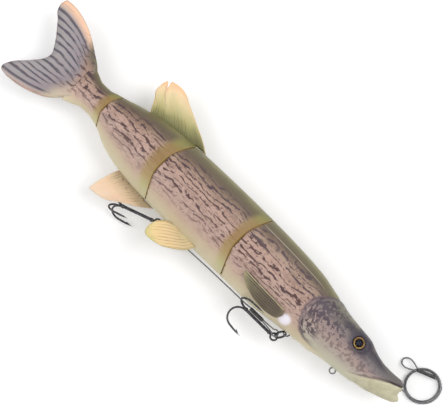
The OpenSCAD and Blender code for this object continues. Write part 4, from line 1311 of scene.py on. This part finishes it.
# CAD nodes that stay get their finishes
eye = {
    "radius": 3.6,
    "pupil": 0.7,  # shares of the radius
    "ringTo": 0.86,
    "gold": (255, 232, 160),
    "goldDeep": (244, 178, 82),
    "black": (14, 13, 17),
    "centre": (34, 34, 62),
}
irisFoil, tree, shader = newMaterial("irisFoil", 0.5, 0.0, Specular_IOR_Level=0.06)
fromEye = tree.nodes.new("ShaderNodeVectorMath")
fromEye.operation = "LENGTH"
eyeScale = 1 / (eye["radius"] * mm)
eyeMove = (-eyePlace[0] / eye["radius"], -eyePlace[1] / eye["radius"], 0)
link(tree, objectPlace(tree, (eyeScale, eyeScale, 0), eyeMove), fromEye.inputs[0])
reach = plus(tree, fromEye.outputs["Value"], swing(tree, noise(tree, objectPlace(tree), 900.0), 0.07))
iris = ramp(tree, reach, (
    (0.0, eye["centre"]), (0.25, eye["centre"]), (0.5, eye["black"]), (eye["pupil"], eye["black"]),
    (eye["pupil"] + 0.05, eye["goldDeep"]), (eye["pupil"] + 0.11, eye["gold"]),
    (eye["ringTo"], eye["gold"]), (eye["ringTo"] + 0.06, eye["goldDeep"]), (0.99, eye["black"])))
link(tree, iris, shader.inputs["Base Color"])
foilGrain = noise(tree, objectPlace(tree), 1500.0)
link(tree, ranged(tree, foilGrain, 0.3, 0.7, 0.5, 0.56), shader.inputs["Roughness"])

finishes = (
    (irisFoil, ("eye_disc_right", "eye_disc_left")),
    (eyeResin, ("eye_dome_right", "eye_dome_left")),
    (brightSteel, (
        "chin_eyelet", "front_hinge_eyes", "front_hinge_pin", "middle_hinge_eyes", "middle_hinge_pin",
        "tail_hinge_eyes", "tail_hinge_pin", "tail_fin_pin")),
    (wireSteel, ("leader_core",)),
    (crimpBlack, ("leader_sleeve", "front_crimp")),
    (castLead, ("front_ballast", "middle_ballast")),
    (tubePlastic, ("line_tube",)),
)
for material, names in finishes:
    for name in names:
        for slot in nodes[name].material_slots:
            slot.material = material
        if material is eyeResin:
            for face in nodes[name].data.polygons:
                face.use_smooth = True
print("finishes ready")


# 1 where the camera, metal or glass looks straight at a plain backdrop, else 0
def plainSight(tree):
    path = tree.nodes.new("ShaderNodeLightPath").outputs
    mirrored = calc(tree, "MAXIMUM", path["Is Glossy Ray"], path["Is Transmission Ray"])
    return calc(tree, "MAXIMUM", path["Is Camera Ray"], mirrored)


stage = {
    "floor": 3.0,
    "drop": -0.0002,
    "floorColor": (0.86, 0.86, 0.86, 1),
    "glow": 0.2,
    "light": 0.55,
    "lamps": (
        ("keyLamp", (0.55, 0.75, 1.1), 0.9, 10.0),
        ("fillLamp", (-0.7, -0.5, 0.9), 1.1, 6.0),
        ("rimLamp", (0.1, 1.0, 0.35), 0.6, 1.0),
    ),
}
bm = bmesh.new()
bmesh.ops.create_grid(bm, x_segments=1, y_segments=1, size=stage["floor"])
bmesh.ops.translate(bm, verts=bm.verts, vec=(0, 0, stage["drop"]))
floorPaper, tree, shader = newMaterial("floorPaper", 0.9)
shader.inputs["Base Color"].default_value = stage["floorColor"]
shader.inputs["Emission Color"].default_value = (1, 1, 1, 1)
link(tree, times(tree, plainSight(tree), stage["glow"]), shader.inputs["Emission Strength"])
floor = fromBmesh("floor", bm, floorPaper, False)

world = bpy.data.worlds.new("studio")
bpy.context.scene.world = world
world.use_nodes = True
tree = world.node_tree
background = tree.nodes["Background"]
background.inputs["Color"].default_value = (1, 1, 1, 1)
glow = plus(tree, times(tree, plainSight(tree), 1 - stage["light"]), stage["light"])
link(tree, glow, background.inputs["Strength"])

for name, place, size, power in stage["lamps"]:
    data = bpy.data.lights.new(name, "AREA")
    data.size = size
    data.energy = power
    lamp = bpy.data.objects.new(name, data)
    bpy.context.scene.collection.objects.link(lamp)
    lamp.location = place
    lamp.rotation_euler = (-Vector(place)).to_track_quat("-Z", "Y").to_euler()
print("stage ready")


# Where things show in the picture
def near(piece, *place):
    spot = Vector(place) * mm
    return toImage(min(corners(piece), key=lambda co: (co - spot).length))


pieceNamed = bpy.data.objects
seen = []
for name in (*shells, "dorsalFin", "analFin", "tailFin", "pelvicFinRight", "frontTreble", "rearTreble"):
    seen += [toImage(place) for place in corners(pieceNamed[name])]
